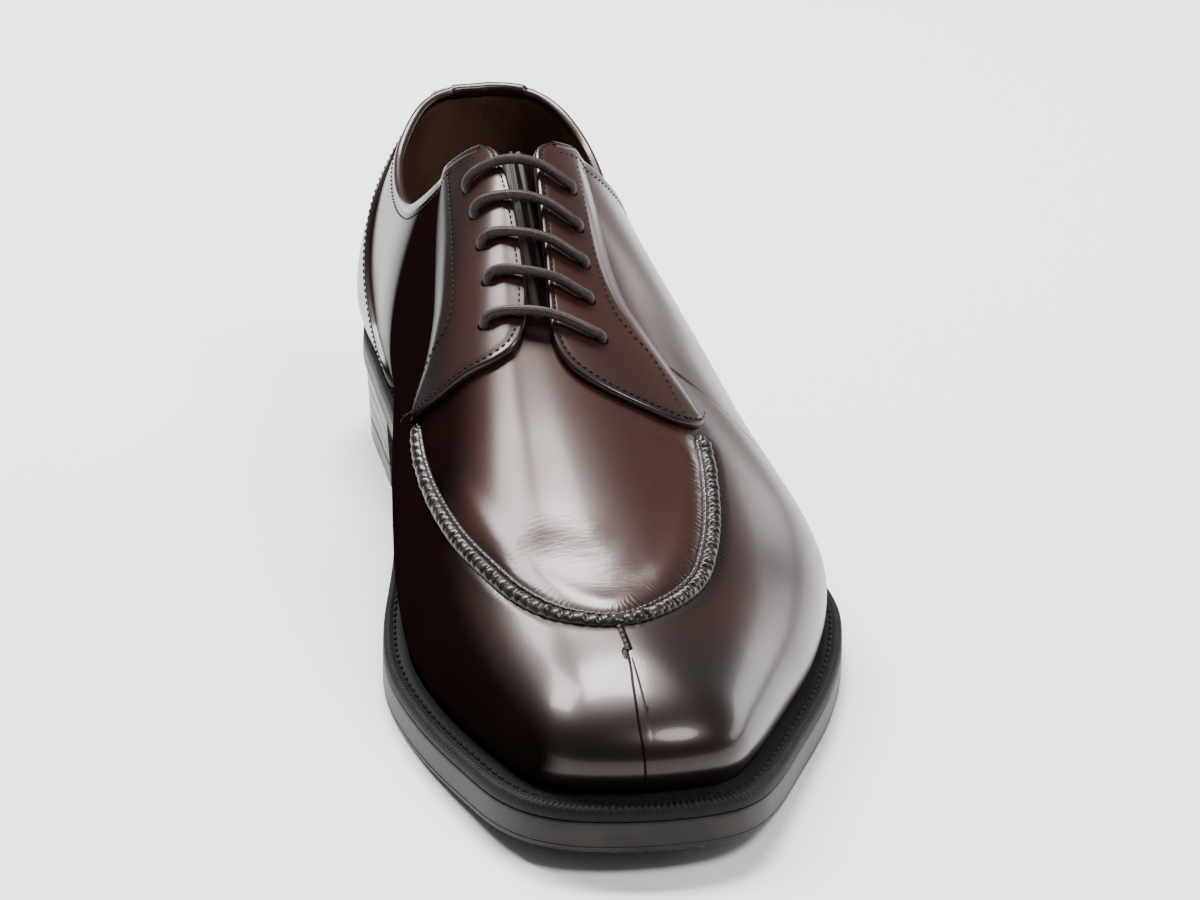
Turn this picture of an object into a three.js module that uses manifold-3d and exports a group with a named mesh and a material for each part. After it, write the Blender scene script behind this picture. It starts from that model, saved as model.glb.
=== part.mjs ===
// Apron toe derby, left shoe, laced: one dress shoe standing on its sole.
// Millimetres, +Z up, toe towards -Y, outer side of the foot towards +X.
// The origin is on the floor, under the middle of the heel.
import * as THREE from "three";
import { mergeVertices } from "three/addons/utils/BufferGeometryUtils.js";
import Module from "manifold-3d";

// Driving dimensions of the shoe.
const LENGTH = 304; // outsole, back of the heel to the toe
const BALL_WIDTH = 114; // outsole across the ball
const HEEL_HEIGHT = 22.5; // floor to the underside of the outsole at the back
const TOE_SPRING = 6; // rise of the outsole's underside at the toe
const INSTEP_HEIGHT = 81; // floor to the ridge of the upper above the throat
const COLLAR_HEIGHT = 90.5; // floor to the collar at the back

// Thicknesses and small sizes.
const OUTSOLE = 7.2; // outsole under the ball
const WAIST_SOLE = 5.2; // outsole under the waist and heel
const WELT = 3.1; // welt and heel rand
const TOP_PIECE = 6; // rubber under the heel
const UPPER_WALL = 2; // leather and lining of the upper
const FACING = 1.7; // lace facings, two layers
const COUNTER = 1.2; // heel counter overlay
const INSOLE = 2.7;
const TONGUE = 1.5;
const SEAM_WIDTH = 4.4; // hand sewn apron seam
const SEAM_RISE = 1.5;
const TOE_SEAM_WIDTH = 2.2;
const TOE_SEAM_RISE = 0.9;
const LACE_RADIUS = 1.25;
const EYELET_RADIUS = 2;
const EYELETS = 5; // on each facing
const EYELET_PITCH = 12.6; // along the slope of the instep
const EYELET_INSET = 8.5; // eyelet to the inner edge of its facing, seen from above
const THROAT_GAP = 5.5; // between the two facings
const HEEL_BREAST = 77; // back of the heel to its front face
const HEEL_TAPER = 1.6; // how far the heel's foot stands inside its top
const EDGE_INSET = 0.8; // rounding of the outsole's edges
const GAP = 0.3; // between curved pieces that meet

// A table with named columns: each column becomes a list.
function table(columns, rows) {
  const made = {};
  columns.forEach((name, i) => (made[name] = rows.map((row) => row[i])));
  return made;
}

// Outline of the outsole from the middle of the heel along the inner side to the toe and back
// along the outer side. Across is a share of the ball width, along a share of the length.
const OUTLINE = table(["across", "along"], [
  [0.0, 0.0],
  [-0.175, 0.017],
  [-0.281, 0.082],
  [-0.298, 0.204],
  [-0.298, 0.329],
  [-0.368, 0.493],
  [-0.432, 0.608],
  [-0.453, 0.69],
  [-0.43, 0.783],
  [-0.38, 0.871],
  [-0.331, 0.9375],
  [-0.276, 0.972],
  [-0.196, 0.992],
  [-0.044, 1.0],
  [0.093, 0.99],
  [0.16, 0.971],
  [0.217, 0.938],
  [0.311, 0.866],
  [0.436, 0.765],
  [0.518, 0.672],
  [0.546, 0.599],
  [0.491, 0.477],
  [0.377, 0.329],
  [0.319, 0.204],
  [0.289, 0.082],
  [0.184, 0.016],
]);

// Underside of the outsole: height as a share of the heel height, and of the toe spring.
const SOLE_LINE = table(["along", "heel", "spring"], [
  [0, 1, 0],
  [0.247, 0.911, 0],
  [0.362, 0.644, 0],
  [0.493, 0.196, 0],
  [0.625, 0, 0],
  [0.711, 0, 0],
  [0.822, 0, 0.183],
  [0.921, 0, 0.533],
  [1, 0, 1],
]);

// Share of the full outsole thickness that the waist has given way to the ball.
const SOLE_BODY = table(["along", "ball"], [
  [0, 0],
  [0.247, 0],
  [0.428, 0.2],
  [0.625, 1],
  [1, 1],
]);

// Visible ledge between the upper and the edge of the outsole, as a share of the ball width.
const LEDGE = table(["along", "width"], [
  [0, 0.0265],
  [0.132, 0.028],
  [0.247, 0.0315],
  [0.395, 0.0315],
  [0.559, 0.044],
  [0.691, 0.0545],
  [0.789, 0.0595],
  [0.954, 0.07],
  [1, 0.079],
]);

// Ridge of the last from above the ankle to the toe. Height is a share of the instep height.
const RIDGE = table(["along", "across", "height"], [
  [0.132, 0.04, 1.58],
  [0.23, 0.004, 1.506],
  [0.329, -0.052, 1.407],
  [0.428, -0.083, 1.265],
  [0.493, -0.106, 1.136],
  [0.559, -0.114, 1.0],
  [0.609, -0.117, 0.895],
  [0.658, -0.114, 0.802],
  [0.757, -0.092, 0.642],
  [0.839, -0.07, 0.537],
  [0.888, -0.061, 0.494],
]);

// Station of the ridge that each station of the feather line rises to.
const RIDGE_STATION = table(["along", "ridge"], [
  [0.01, 0.132],
  [0.066, 0.155],
  [0.23, 0.257],
  [0.362, 0.368],
  [0.724, 0.711],
  [0.862, 0.816],
  [0.938, 0.865],
  [0.974, 0.888],
]);

// Walls of the last. Bulge: how far the wall swings out above the feather line, a share of the
// ball width. Rise: where it swings, a share of the wall's height. Crown: how far the top stays
// level, a share of the wall's width.
const INNER_WALL = table(["along", "bulge", "rise", "crown"], [
  [0.013, 0.123, 0.16, 0.52],
  [0.082, 0.145, 0.14, 0.4],
  [0.197, 0.123, 0.21, 0.45],
  [0.329, 0.136, 0.26, 0.52],
  [0.493, 0.139, 0.35, 0.54],
  [0.658, 0.082, 0.415, 0.525],
  [0.789, 0.088, 0.47, 0.58],
  [0.905, 0.094, 0.555, 0.592],
  [0.964, 0.113, 0.62, 0.59],
]);
const OUTER_WALL = table(["along", "bulge", "rise", "crown"], [
  [0.013, 0.123, 0.16, 0.52],
  [0.082, 0.128, 0.145, 0.44],
  [0.197, 0.107, 0.13, 0.41],
  [0.329, 0.109, 0.175, 0.405],
  [0.493, 0.083, 0.25, 0.41],
  [0.658, 0.103, 0.347, 0.494],
  [0.789, 0.102, 0.418, 0.559],
  [0.905, 0.098, 0.532, 0.585],
  [0.964, 0.113, 0.62, 0.59],
]);

// Collar seen from the side: height as a share of the collar height at the back.
const TOPLINE = table(["along", "inner", "outer"], [
  [0, 1.0, 1.0],
  [0.02, 1.0, 1.0],
  [0.066, 0.965, 0.955],
  [0.125, 0.875, 0.86],
  [0.188, 0.835, 0.815],
  [0.247, 0.865, 0.83],
  [0.296, 0.95, 0.91],
  [0.332, 1.05, 1.01],
  [0.362, 1.135, 1.115],
  [0.385, 1.18, 1.175],
  [0.42, 1.24, 1.24],
  [0.6, 1.6, 1.6],
]);

// Front edge of the heel counter seen from the side, up from the welt.
const COUNTER_EDGE = table(["height", "along"], [
  [0.2, 0.262],
  [0.37, 0.25],
  [0.45, 0.195],
  [0.56, 0.148],
  [0.73, 0.098],
  [0.83, 0.066],
  [0.97, 0.046],
  [1.2, 0.04],
]);

// Plan of the apron seam, from the inner corner round the toe to the outer corner.
const APRON_FRONT = 0.8565;
const APRON = table(["across", "along"], [
  [-0.344, 0.55],
  [-0.35, 0.59],
  [-0.343, 0.651],
  [-0.322, 0.709],
  [-0.285, 0.76],
  [-0.237, 0.806],
  [-0.175, 0.839],
  [-0.105, 0.855],
  [-0.066, APRON_FRONT],
  [-0.026, 0.853],
  [0.053, 0.832],
  [0.127, 0.798],
  [0.172, 0.757],
  [0.2, 0.717],
  [0.217, 0.678],
  [0.225, 0.648],
  [0.224, 0.627],
]);

// Plan of each facing from the top of its inner edge down to the front and up its outer edge.
const INNER_FACING = table(["across", "along"], [
  [-0.094, 0.394],
  [-0.09, 0.424],
  [-0.093, 0.507],
  [-0.108, 0.556],
  [-0.13, 0.578],
  [-0.17, 0.592],
  [-0.228, 0.587],
  [-0.285, 0.572],
  [-0.332, 0.549],
  [-0.352, 0.53],
  [-0.338, 0.517],
  [-0.31, 0.502],
  [-0.285, 0.474],
  [-0.265, 0.428],
  [-0.25, 0.38],
  [-0.235, 0.32],
  [-0.18, 0.32],
]);
const OUTER_FACING = table(["across", "along"], [
  [-0.04, 0.398],
  [-0.043, 0.424],
  [-0.05, 0.507],
  [-0.062, 0.562],
  [-0.056, 0.583],
  [-0.03, 0.6],
  [0.026, 0.616],
  [0.09, 0.625],
  [0.16, 0.626],
  [0.228, 0.616],
  [0.238, 0.6],
  [0.225, 0.575],
  [0.195, 0.55],
  [0.16, 0.525],
  [0.13, 0.503],
  [0.114, 0.47],
  [0.11, 0.4],
  [0.108, 0.32],
  [0.03, 0.32],
]);

// Plan of the opening in the upper under the facings, round its front end past the eyelets.
const THROAT = table(["across", "along"], [
  [-0.203, 0.28],
  [-0.212, 0.46],
  [-0.238, 0.54],
  [-0.228, 0.566],
  [-0.17, 0.572],
  [-0.125, 0.566],
  [-0.085, 0.561],
  [-0.045, 0.568],
  [0, 0.586],
  [0.045, 0.592],
  [0.075, 0.58],
  [0.072, 0.53],
  [0.06, 0.46],
  [0.055, 0.28],
]);

// Middle line of the gap between the facings.
const THROAT_LINE = table(["along", "across"], [
  [0.28, -0.07],
  [0.42, -0.068],
  [0.5, -0.072],
  [0.56, -0.082],
]);

// Plan of the tongue; its front end lies higher, against the lining of the vamp.
const TONGUE_LIFT = 0.582;
const TONGUE_PLAN = table(["along", "inner", "outer"], [
  [0.352, -0.19, 0.03],
  [0.362, -0.215, 0.06],
  [0.42, -0.225, 0.075],
  [0.54, -0.25, 0.1],
  [0.6, -0.24, 0.09],
  [0.628, -0.19, 0.04],
]);

// Counts of steps, fine enough to read as curves.
const COLUMNS = 36; // around each side of the upper and the sole
const ROWS = 10; // from the feather line to the ridge
const LACE_SIDES = 8;

const HEEL_MIDDLE = 0.112 * LENGTH; // where the origin lies along the shoe

// Colours of the materials.
const OAK_BROWN = 0x3a201a;
const DARK_BROWN = 0x2a1613;
const SEAM_BROWN = 0x241513;
const EDGE_BLACK = 0x1b1816;
const SOLE_BROWN = 0x3b342f;
const RUBBER_BLACK = 0x171615;
const LINING_TAN = 0x5a3d2a;
const LACE_BROWN = 0x2c2220;

const wasm = await Module();
wasm.setup();

const lerp = (a, b, t) => a + (b - a) * t;

// Monotone cubic through the rows of two columns, level beyond both ends.
function smooth(xs, ys, x) {
  const last = xs.length - 1;
  if (x <= xs[0]) return ys[0];
  if (x >= xs[last]) return ys[last];
  const k = xs.findIndex((value) => value > x) - 1;
  const chord = (i) => (ys[i + 1] - ys[i]) / (xs[i + 1] - xs[i]);
  const slope = (i) => {
    if (i === 0) return chord(0);
    if (i === last) return chord(last - 1);
    const [a, b] = [chord(i - 1), chord(i)];
    return a * b > 0 ? (2 * a * b) / (a + b) : 0;
  };
  const h = xs[k + 1] - xs[k];
  const t = (x - xs[k]) / h;
  const rise = (2 * t - 3) * t * t;
  return (
    (1 + rise) * ys[k] -
    rise * ys[k + 1] +
    (t - 1) * t * h * ((t - 1) * slope(k) + t * slope(k + 1))
  );
}

// Heights along the sole, at a distance from the back of the heel.
function soleBottom(along) {
  const heel = smooth(SOLE_LINE.along, SOLE_LINE.heel, along / LENGTH);
  const spring = smooth(SOLE_LINE.along, SOLE_LINE.spring, along / LENGTH);
  return heel * HEEL_HEIGHT + spring * TOE_SPRING;
}
function soleTop(along) {
  const ball = smooth(SOLE_BODY.along, SOLE_BODY.ball, along / LENGTH);
  return soleBottom(along) + lerp(WAIST_SOLE, OUTSOLE, ball);
}
const featherHeight = (along) => soleTop(along) + GAP + WELT;

// A point of the shoe: across, along and up become X, Y and Z.
const place = (across, along, up) => new THREE.Vector3(across, HEEL_MIDDLE - along, up);

// The outline as a dense closed run of points with outward normals.
const outlineCurve = new THREE.CatmullRomCurve3(
  OUTLINE.across.map(
    (across, i) => new THREE.Vector3(across * BALL_WIDTH, OUTLINE.along[i] * LENGTH, 0),
  ),
  true,
  "centripetal",
);
const outlineRun = outlineCurve.getPoints(24 * OUTLINE.along.length).slice(0, -1);

// Both halves of the outline, moved outwards by a growth, each from the toe to the heel.
function halves(growth) {
  const n = outlineRun.length;
  const moved = outlineRun.map((point, i) => {
    const before = outlineRun[(i + n - 1) % n];
    const after = outlineRun[(i + 1) % n];
    const tangent = after.clone().sub(before).normalize();
    const outward = new THREE.Vector3(-tangent.y, tangent.x, 0);
    return point.clone().addScaledVector(outward, growth(point.y));
  });
  const toe = moved.reduce((best, p, i) => (p.y > moved[best].y ? i : best), 0);
  const heel = moved.reduce((best, p, i) => (p.y < moved[best].y ? i : best), 0);
  const walk = (step) => {
    const run = [];
    for (let i = toe; i !== heel; i = (i + step + n) % n) run.push(moved[i]);
    run.push(moved[heel]);
    return even(run);
  };
  return { inner: walk(-1), outer: walk(1) };
}

// A run of points read by its share of length.
function even(run) {
  const lengths = [0];
  run.slice(1).forEach((p, i) => lengths.push(lengths[i] + p.distanceTo(run[i])));
  const total = lengths[lengths.length - 1];
  return (share) => {
    const wanted = Math.min(Math.max(share, 0), 1) * total;
    const k = Math.max(1, lengths.findIndex((value) => value >= wanted));
    const t = (wanted - lengths[k - 1]) / (lengths[k] - lengths[k - 1] || 1);
    return run[k - 1].clone().lerp(run[k], t);
  };
}

const feather = halves((along) => -smooth(LEDGE.along, LEDGE.width, along / LENGTH) * BALL_WIDTH);

// The ridge of the last at a station along it, with its slope.
function ridge(along) {
  const share = along / LENGTH;
  const height = (at) => smooth(RIDGE.along, RIDGE.height, at) * INSTEP_HEIGHT;
  const step = 0.002;
  return {
    across: smooth(RIDGE.along, RIDGE.across, share) * BALL_WIDTH,
    up: height(share),
    slope: (height(share + step) - height(share - step)) / (2 * step * LENGTH),
  };
}

// Surface of the last. q runs from the toe (0) to the heel (1), v from the feather line (0) to
// the ridge (1). Past either end the surface goes on over the other side of the foot.
function lastPoint(side, q, v) {
  if (q < 0 || q > 1 || v > 1) {
    const turned = q < 0 ? [-q, v] : q > 1 ? [2 - q, v] : [q, 2 - v];
    return lastPoint(side === "inner" ? "outer" : "inner", ...turned);
  }
  const foot = feather[side](q);
  const mean = (feather.inner(q).y + feather.outer(q).y) / 2;
  const station = smooth(RIDGE_STATION.along, RIDGE_STATION.ridge, mean / LENGTH) * LENGTH;
  const top = ridge(station);
  const wall = side === "inner" ? INNER_WALL : OUTER_WALL;
  const read = (column) => smooth(wall.along, wall[column], foot.y / LENGTH);
  const start = new THREE.Vector3(foot.x, foot.y, featherHeight(foot.y));
  const end = new THREE.Vector3(top.across, station, top.up);
  const out = new THREE.Vector3(start.x - end.x, start.y - end.y, 0);
  const width = out.length();
  out.normalize();
  const lower = start.clone().addScaledVector(out, read("bulge") * BALL_WIDTH);
  lower.z += read("rise") * (end.z - start.z);
  const reach = read("crown") * width;
  const upper = end.clone().addScaledVector(out, reach);
  upper.z += top.slope * out.y * reach;
  const p = new THREE.CubicBezierCurve3(start, lower, upper, end).getPoint(Math.max(v, 0));
  return place(p.x, p.y, p.z);
}

// Outward normal of the last at the same parameters.
function lastNormal(side, q, v) {
  const step = 0.01;
  const level = Math.min(v, 1 - 4 * step);
  const alongQ = lastPoint(side, q + step, level).sub(lastPoint(side, q - step, level));
  const high = Math.min(v + step, 1);
  const low = Math.max(high - 2 * step, 0);
  const alongV = lastPoint(side, q, high).sub(lastPoint(side, q, low));
  const normal = alongV.cross(alongQ).normalize();
  return side === "inner" ? normal : normal.negate();
}

// A manifold solid from a list of points and a list of triangles.
function solid(points, faces) {
  const geometry = new THREE.BufferGeometry();
  geometry.setAttribute(
    "position",
    new THREE.Float32BufferAttribute(points.flatMap((p) => [p.x, p.y, p.z]), 3),
  );
  geometry.setIndex(faces.flat());
  return solidOf(geometry);
}

// A manifold solid from a closed geometry, turned outside out where it needs it.
function solidOf(source) {
  const bare = source.clone();
  bare.deleteAttribute("normal");
  bare.deleteAttribute("uv");
  const merged = mergeVertices(bare, 1e-4);
  const index = Array.from(merged.index.array);
  const kept = [];
  for (let i = 0; i < index.length; i += 3) {
    const [a, b, c] = index.slice(i, i + 3);
    if (a !== b && b !== c && a !== c) kept.push(a, b, c);
  }
  const build = (triVerts) =>
    new wasm.Manifold(
      new wasm.Mesh({
        numProp: 3,
        vertProperties: new Float32Array(merged.attributes.position.array),
        triVerts: new Uint32Array(triVerts),
      }),
    );
  const made = build(kept);
  if (made.volume() > 0) return made;
  const turned = [];
  for (let i = 0; i < kept.length; i += 3) turned.push(kept[i], kept[i + 2], kept[i + 1]);
  return build(turned);
}

// A closed skin over rings of points, capped by strips across each end ring. A ring runs down
// the inner side from the toe and back up the outer side, so that its caps are strips too.
function stacked(rings) {
  const size = rings[0].length;
  const half = size / 2;
  const faces = [];
  rings.slice(1).forEach((ring, level) => {
    for (let i = 0; i < size; i += 1) {
      const a = level * size + i;
      const b = level * size + ((i + 1) % size);
      faces.push([a, b, b + size], [a, b + size, a + size]);
    }
  });
  [0, (rings.length - 1) * size].forEach((base) => {
    for (let i = 0; i < half; i += 1) {
      const a = base + i;
      const b = a + 1;
      const c = base + ((size - i - 1) % size);
      const d = base + ((size - i) % size);
      const strip = [[a, c, b], [a, d, c]];
      const shown = strip.filter((f) => new Set(f).size === 3);
      shown.forEach((f) => faces.push(base === 0 ? f : [f[0], f[2], f[1]]));
    }
  });
  return solid(rings.flat(), faces);
}

// Columns crowd a little at the toe and the heel, where the plan curves most.
const crowd = (t) => t - 0.06 * Math.sin(4 * Math.PI * t);

// One ring of a sole-shaped layer: the outline moved by a growth, at a height along the shoe.
function soleRing(growth, height) {
  const path = halves(growth);
  const ring = [];
  for (let i = 0; i <= COLUMNS; i += 1) ring.push(path.inner(crowd(i / COLUMNS)));
  for (let i = COLUMNS - 1; i > 0; i -= 1) ring.push(path.outer(crowd(i / COLUMNS)));
  return ring.map((p) => place(p.x, p.y, height(p.y)));
}

// The last as a solid, grown or shrunk along its normals, with its edge let down by a drop.
function lastSolid(offset, drop) {
  const column = (side, q) => {
    const grown = [];
    for (let j = 0; j <= ROWS; j += 1) {
      const normal = lastNormal(side, q, j / ROWS);
      if (j === 0) normal.setZ(0).normalize();
      grown.push(lastPoint(side, q, j / ROWS).addScaledVector(normal, offset));
    }
    const edge = grown[0].clone();
    edge.z -= drop;
    return [edge, ...grown];
  };
  const columns = [];
  for (let i = 0; i <= COLUMNS; i += 1) columns.push(column("inner", crowd(i / COLUMNS)));
  for (let i = COLUMNS - 1; i > 0; i -= 1) columns.push(column("outer", crowd(i / COLUMNS)));
  const rings = columns[0].map((_, j) => columns.map((points) => points[j]));
  return stacked(rings);
}

// A solid that stands on a plan or a side outline: points are pairs, width runs across them.
function prism(points, depth) {
  const shape = new THREE.Shape(points.map(([a, b]) => new THREE.Vector2(a, b)));
  return new THREE.ExtrudeGeometry(shape, { depth, bevelEnabled: false, curveSegments: 1 });
}

const FLAP_FLOOR = 0.52 * INSTEP_HEIGHT; // cutters from above stop here, over the wall's swell
const CUT_TOP = 2 * INSTEP_HEIGHT;

// A cutter from above with the plan given in millimetres across and along.
function planCutter(pairs, bottom = FLAP_FLOOR) {
  const turned = pairs.map(([across, along]) => [across, HEEL_MIDDLE - along]);
  const geometry = prism(turned, CUT_TOP - bottom);
  geometry.translate(0, 0, bottom);
  return solidOf(geometry);
}

// A smooth open run through the rows of a plan table, in millimetres.
function planRun(rows, steps) {
  const points = rows.across.map(
    (across, i) => new THREE.Vector3(across * BALL_WIDTH, rows.along[i] * LENGTH, 0),
  );
  return new THREE.CatmullRomCurve3(points, false, "centripetal").getSpacedPoints(steps);
}

const planPairs = (rows, steps) => planRun(rows, steps).map((p) => [p.x, p.y]);

// Parameters of the last under a plan point: the nearest of a coarse grid, then Newton steps.
const SEARCH = [];
for (const side of ["inner", "outer"]) {
  for (let q = 0.02; q < 0.9; q += 0.04) {
    for (let v = 0.3; v <= 1.001; v += 0.1) SEARCH.push({ side, q, v, at: lastPoint(side, q, v) });
  }
}
function under(across, along) {
  const wanted = place(across, along, 0);
  const away = (p) => Math.hypot(p.x - wanted.x, p.y - wanted.y);
  const found = SEARCH.reduce((best, one) => (away(one.at) < away(best.at) ? one : best));
  let { q, v } = found;
  const step = 0.002;
  for (let turn = 0; turn < 8; turn += 1) {
    const here = lastPoint(found.side, q, v);
    const dq = lastPoint(found.side, q + step, v).sub(here).divideScalar(step);
    const dv = lastPoint(found.side, q, v - step).sub(here).divideScalar(-step);
    const area = dq.x * dv.y - dq.y * dv.x;
    const [ex, ey] = [wanted.x - here.x, wanted.y - here.y];
    q += THREE.MathUtils.clamp((ex * dv.y - ey * dv.x) / area, -0.05, 0.05);
    v += THREE.MathUtils.clamp((dq.x * ey - dq.y * ex) / area, -0.1, 0.1);
  }
  return { side: found.side, q, v };
}

// A point above the last: the plan point dropped on it, then raised along its normal.
function drape(across, along, raise) {
  const { side, q, v } = under(across, along);
  const base = lastPoint(side, q, v);
  const normal = lastNormal(side, q, v);
  return base.addScaledVector(normal, raise);
}

// A half round bead along a run of points on the last, its flat side a gap above the leather.
function bead(run, width, rise) {
  const sides = 7;
  const rings = run.map(({ point, normal }, i) => {
    const before = run[Math.max(i - 1, 0)].point;
    const after = run[Math.min(i + 1, run.length - 1)].point;
    const across = after.clone().sub(before).cross(normal).normalize();
    const ring = [];
    for (let k = 0; k < sides; k += 1) {
      const angle = (Math.PI * k) / (sides - 1);
      const up = GAP + rise * Math.sin(angle) ** 0.8;
      ring.push(
        point.clone().addScaledVector(across, (width / 2) * Math.cos(angle)).addScaledVector(normal, up),
      );
    }
    return ring;
  });
  const faces = [];
  rings.slice(1).forEach((_, level) => {
    for (let k = 0; k < sides; k += 1) {
      const a = level * sides + k;
      const b = level * sides + ((k + 1) % sides);
      faces.push([a, b, b + sides], [a, b + sides, a + sides]);
    }
  });
  const end = (rings.length - 1) * sides;
  for (let k = 1; k < sides - 1; k += 1) {
    faces.push([0, k + 1, k], [end, end + k, end + k + 1]);
  }
  return solid(rings.flat(), faces);
}

// Eyelet places, from the throat up: stations by the pitch along the slope of the ridge.
const EYELET_START = 0.5625 * LENGTH;
const EYELET_SKEW = 0.01 * LENGTH; // the rows lie square to the instep, which turns inwards
function eyeletStations() {
  const stations = [EYELET_START];
  while (stations.length < EYELETS) {
    const from = stations[stations.length - 1];
    const { slope } = ridge(from - EYELET_PITCH / 2);
    stations.push(from - EYELET_PITCH / Math.hypot(1, slope));
  }
  return stations;
}
const stations = eyeletStations();
const throatMiddle = (along) =>
  smooth(THROAT_LINE.along, THROAT_LINE.across, along / LENGTH) * BALL_WIDTH;
function eyelet(side, k) {
  const sign = side === "inner" ? -1 : 1;
  const along = stations[k] + sign * EYELET_SKEW;
  const spread = k === 0 ? 1.15 : 1;
  const reach = (THROAT_GAP / 2 + EYELET_INSET) * spread;
  return { across: throatMiddle(along) + sign * reach, along, sign };
}

// Route of the lace as plan points with a height over the last. It starts at its hidden end
// under the inner facing, comes up through the lowest inner eyelet and crosses in straight bars.
const OVER = GAP + FACING + GAP + LACE_RADIUS + 0.1;
const UNDER = -LACE_RADIUS - 0.2;
const LACE_TURN = 2.6; // length of the bend at an eyelet
const LACE_BEND = 0.7; // where the bend starts, from the middle of the eyelet
const LACE_TAIL = 4; // hidden ends run on past the top eyelets
const LACE_TUCK = 3.4; // hidden run to its facing's inner edge
const LACE_CREST = 3; // half of the bar's crest over the throat
const LACE_ARCH = 0.2; // rise of the crest over the bar's ends
const BEND_RISE = 0.5; // height that each bend at an eyelet takes
const MOUTH_OVER = 1.9; // middle of the lace in the eyelet's mouth
const MOUTH_UNDER = 0.4; // and at the eyelet's foot

function laceRoute() {
  const route = [];
  const add = (across, along, raise) => route.push({ across, along, raise });
  const top = stations[EYELETS - 1];
  const first = eyelet("inner", 0);
  const hidden = (along) => throatMiddle(along) - THROAT_GAP / 2 - LACE_TUCK;
  [top - LACE_TAIL, stations[3], stations[2], stations[1]].forEach((along) => {
    add(hidden(along), along, UNDER);
  });
  add(lerp(hidden(stations[0]), first.across, 0.6), lerp(stations[1], first.along, 0.4), UNDER);
  const bendOver = (eye) => [
    [eye.across, eye.along, MOUTH_OVER],
    [eye.across - eye.sign * LACE_BEND, eye.along, OVER - BEND_RISE],
    [eye.across - eye.sign * LACE_TURN, eye.along, OVER],
  ];
  const bendUnder = (eye, turn) => [
    [eye.across, eye.along, MOUTH_UNDER],
    [eye.across, eye.along + Math.sign(turn) * LACE_BEND, UNDER + BEND_RISE],
    [eye.across, eye.along + turn, UNDER],
  ];
  const passUp = (eye, turn) => {
    bendUnder(eye, turn).reverse().forEach((point) => add(...point));
    bendOver(eye).forEach((point) => add(...point));
  };
  const passDown = (eye, turn) => {
    bendOver(eye).reverse().forEach((point) => add(...point));
    bendUnder(eye, turn).forEach((point) => add(...point));
  };
  const cross = (from, to) => {
    const middle = (from.along + to.along) / 2;
    const crest = LACE_CREST * from.sign;
    add(throatMiddle(middle) + crest, lerp(from.along, to.along, 0.4), OVER + LACE_ARCH);
    add(throatMiddle(middle) - crest, lerp(from.along, to.along, 0.6), OVER + LACE_ARCH);
  };
  passUp(first, -LACE_TURN);
  for (let k = 0; k < EYELETS; k += 1) {
    const [here, there] = k % 2 === 0 ? ["inner", "outer"] : ["outer", "inner"];
    cross(eyelet(here, k), eyelet(there, k));
    passDown(eyelet(there, k), -LACE_TURN);
    if (k < EYELETS - 1) passUp(eyelet(there, k + 1), LACE_TURN);
  }
  return route;
}

// Manifold solid to a three.js mesh.
function mesh(name, manifold, color, roughness) {
  const { numProp, vertProperties, triVerts } = manifold.getMesh();
  const position = new Float32Array((vertProperties.length / numProp) * 3);
  for (let i = 0; i < position.length / 3; i += 1) {
    position.set(vertProperties.subarray(i * numProp, i * numProp + 3), i * 3);
  }
  const geometry = new THREE.BufferGeometry();
  geometry.setAttribute("position", new THREE.BufferAttribute(position, 3));
  geometry.setIndex(new THREE.BufferAttribute(new Uint32Array(triVerts), 1));
  geometry.computeVertexNormals();
  const material = new THREE.MeshStandardMaterial({ color, roughness, metalness: 0 });
  const made = new THREE.Mesh(geometry, material);
  made.name = name;
  return made;
}

// Largest body of a cut, without the slivers that a cutter may leave.
function largest(manifold) {
  const bodies = manifold.decompose();
  return bodies.reduce((best, body) => (body.volume() > best.volume() ? body : best));
}

// What the collar opening takes away: a ruled cutter over the inner and the outer topline.
function collarCutter() {
  const steps = 44;
  const reach = BALL_WIDTH;
  const rings = [];
  for (let i = 0; i <= steps; i += 1) {
    const share = lerp(-0.05, 0.6, i / steps);
    const at = (column) => smooth(TOPLINE.along, TOPLINE[column], share) * COLLAR_HEIGHT;
    const along = share * LENGTH;
    const tilt = (at("outer") - at("inner")) / 2;
    const middle = (at("outer") + at("inner")) / 2;
    const edge = 0.35 * BALL_WIDTH;
    const low = (across) => middle + (tilt * across) / edge;
    rings.push([
      place(-reach, along, low(-edge)),
      place(-edge, along, low(-edge)),
      place(edge, along, low(edge)),
      place(reach, along, low(edge)),
      place(reach, along, CUT_TOP * 1.4),
      place(-reach, along, CUT_TOP * 1.4),
    ]);
  }
  const size = rings[0].length;
  const faces = [];
  rings.slice(1).forEach((_, level) => {
    for (let k = 0; k < size; k += 1) {
      const a = level * size + k;
      const b = level * size + ((k + 1) % size);
      faces.push([a, b, b + size], [a, b + size, a + size]);
    }
  });
  const end = (rings.length - 1) * size;
  for (let k = 1; k < size - 1; k += 1) {
    faces.push([0, k + 1, k], [end, end + k, end + k + 1]);
  }
  return solid(rings.flat(), faces);
}

// A strip of plan between an inner and an outer line of a table.
function stripPlan(rows) {
  const steps = 14;
  const read = (column, i) => {
    const share = lerp(rows.along[0], rows.along[rows.along.length - 1], i / steps);
    return [smooth(rows.along, rows[column], share) * BALL_WIDTH, share * LENGTH];
  };
  const inner = Array.from({ length: steps + 1 }, (_, i) => read("inner", i));
  const outer = Array.from({ length: steps + 1 }, (_, i) => read("outer", steps - i));
  return [...inner, ...outer];
}

const collar = collarCutter();

function makeUpper() {
  const outer = lastSolid(0, WELT);
  const inner = lastSolid(-UPPER_WALL, 3 * WELT);
  const wall = outer.subtract(inner).subtract(collar);
  return largest(wall.subtract(planCutter(planPairs(THROAT, 40))));
}

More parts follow.
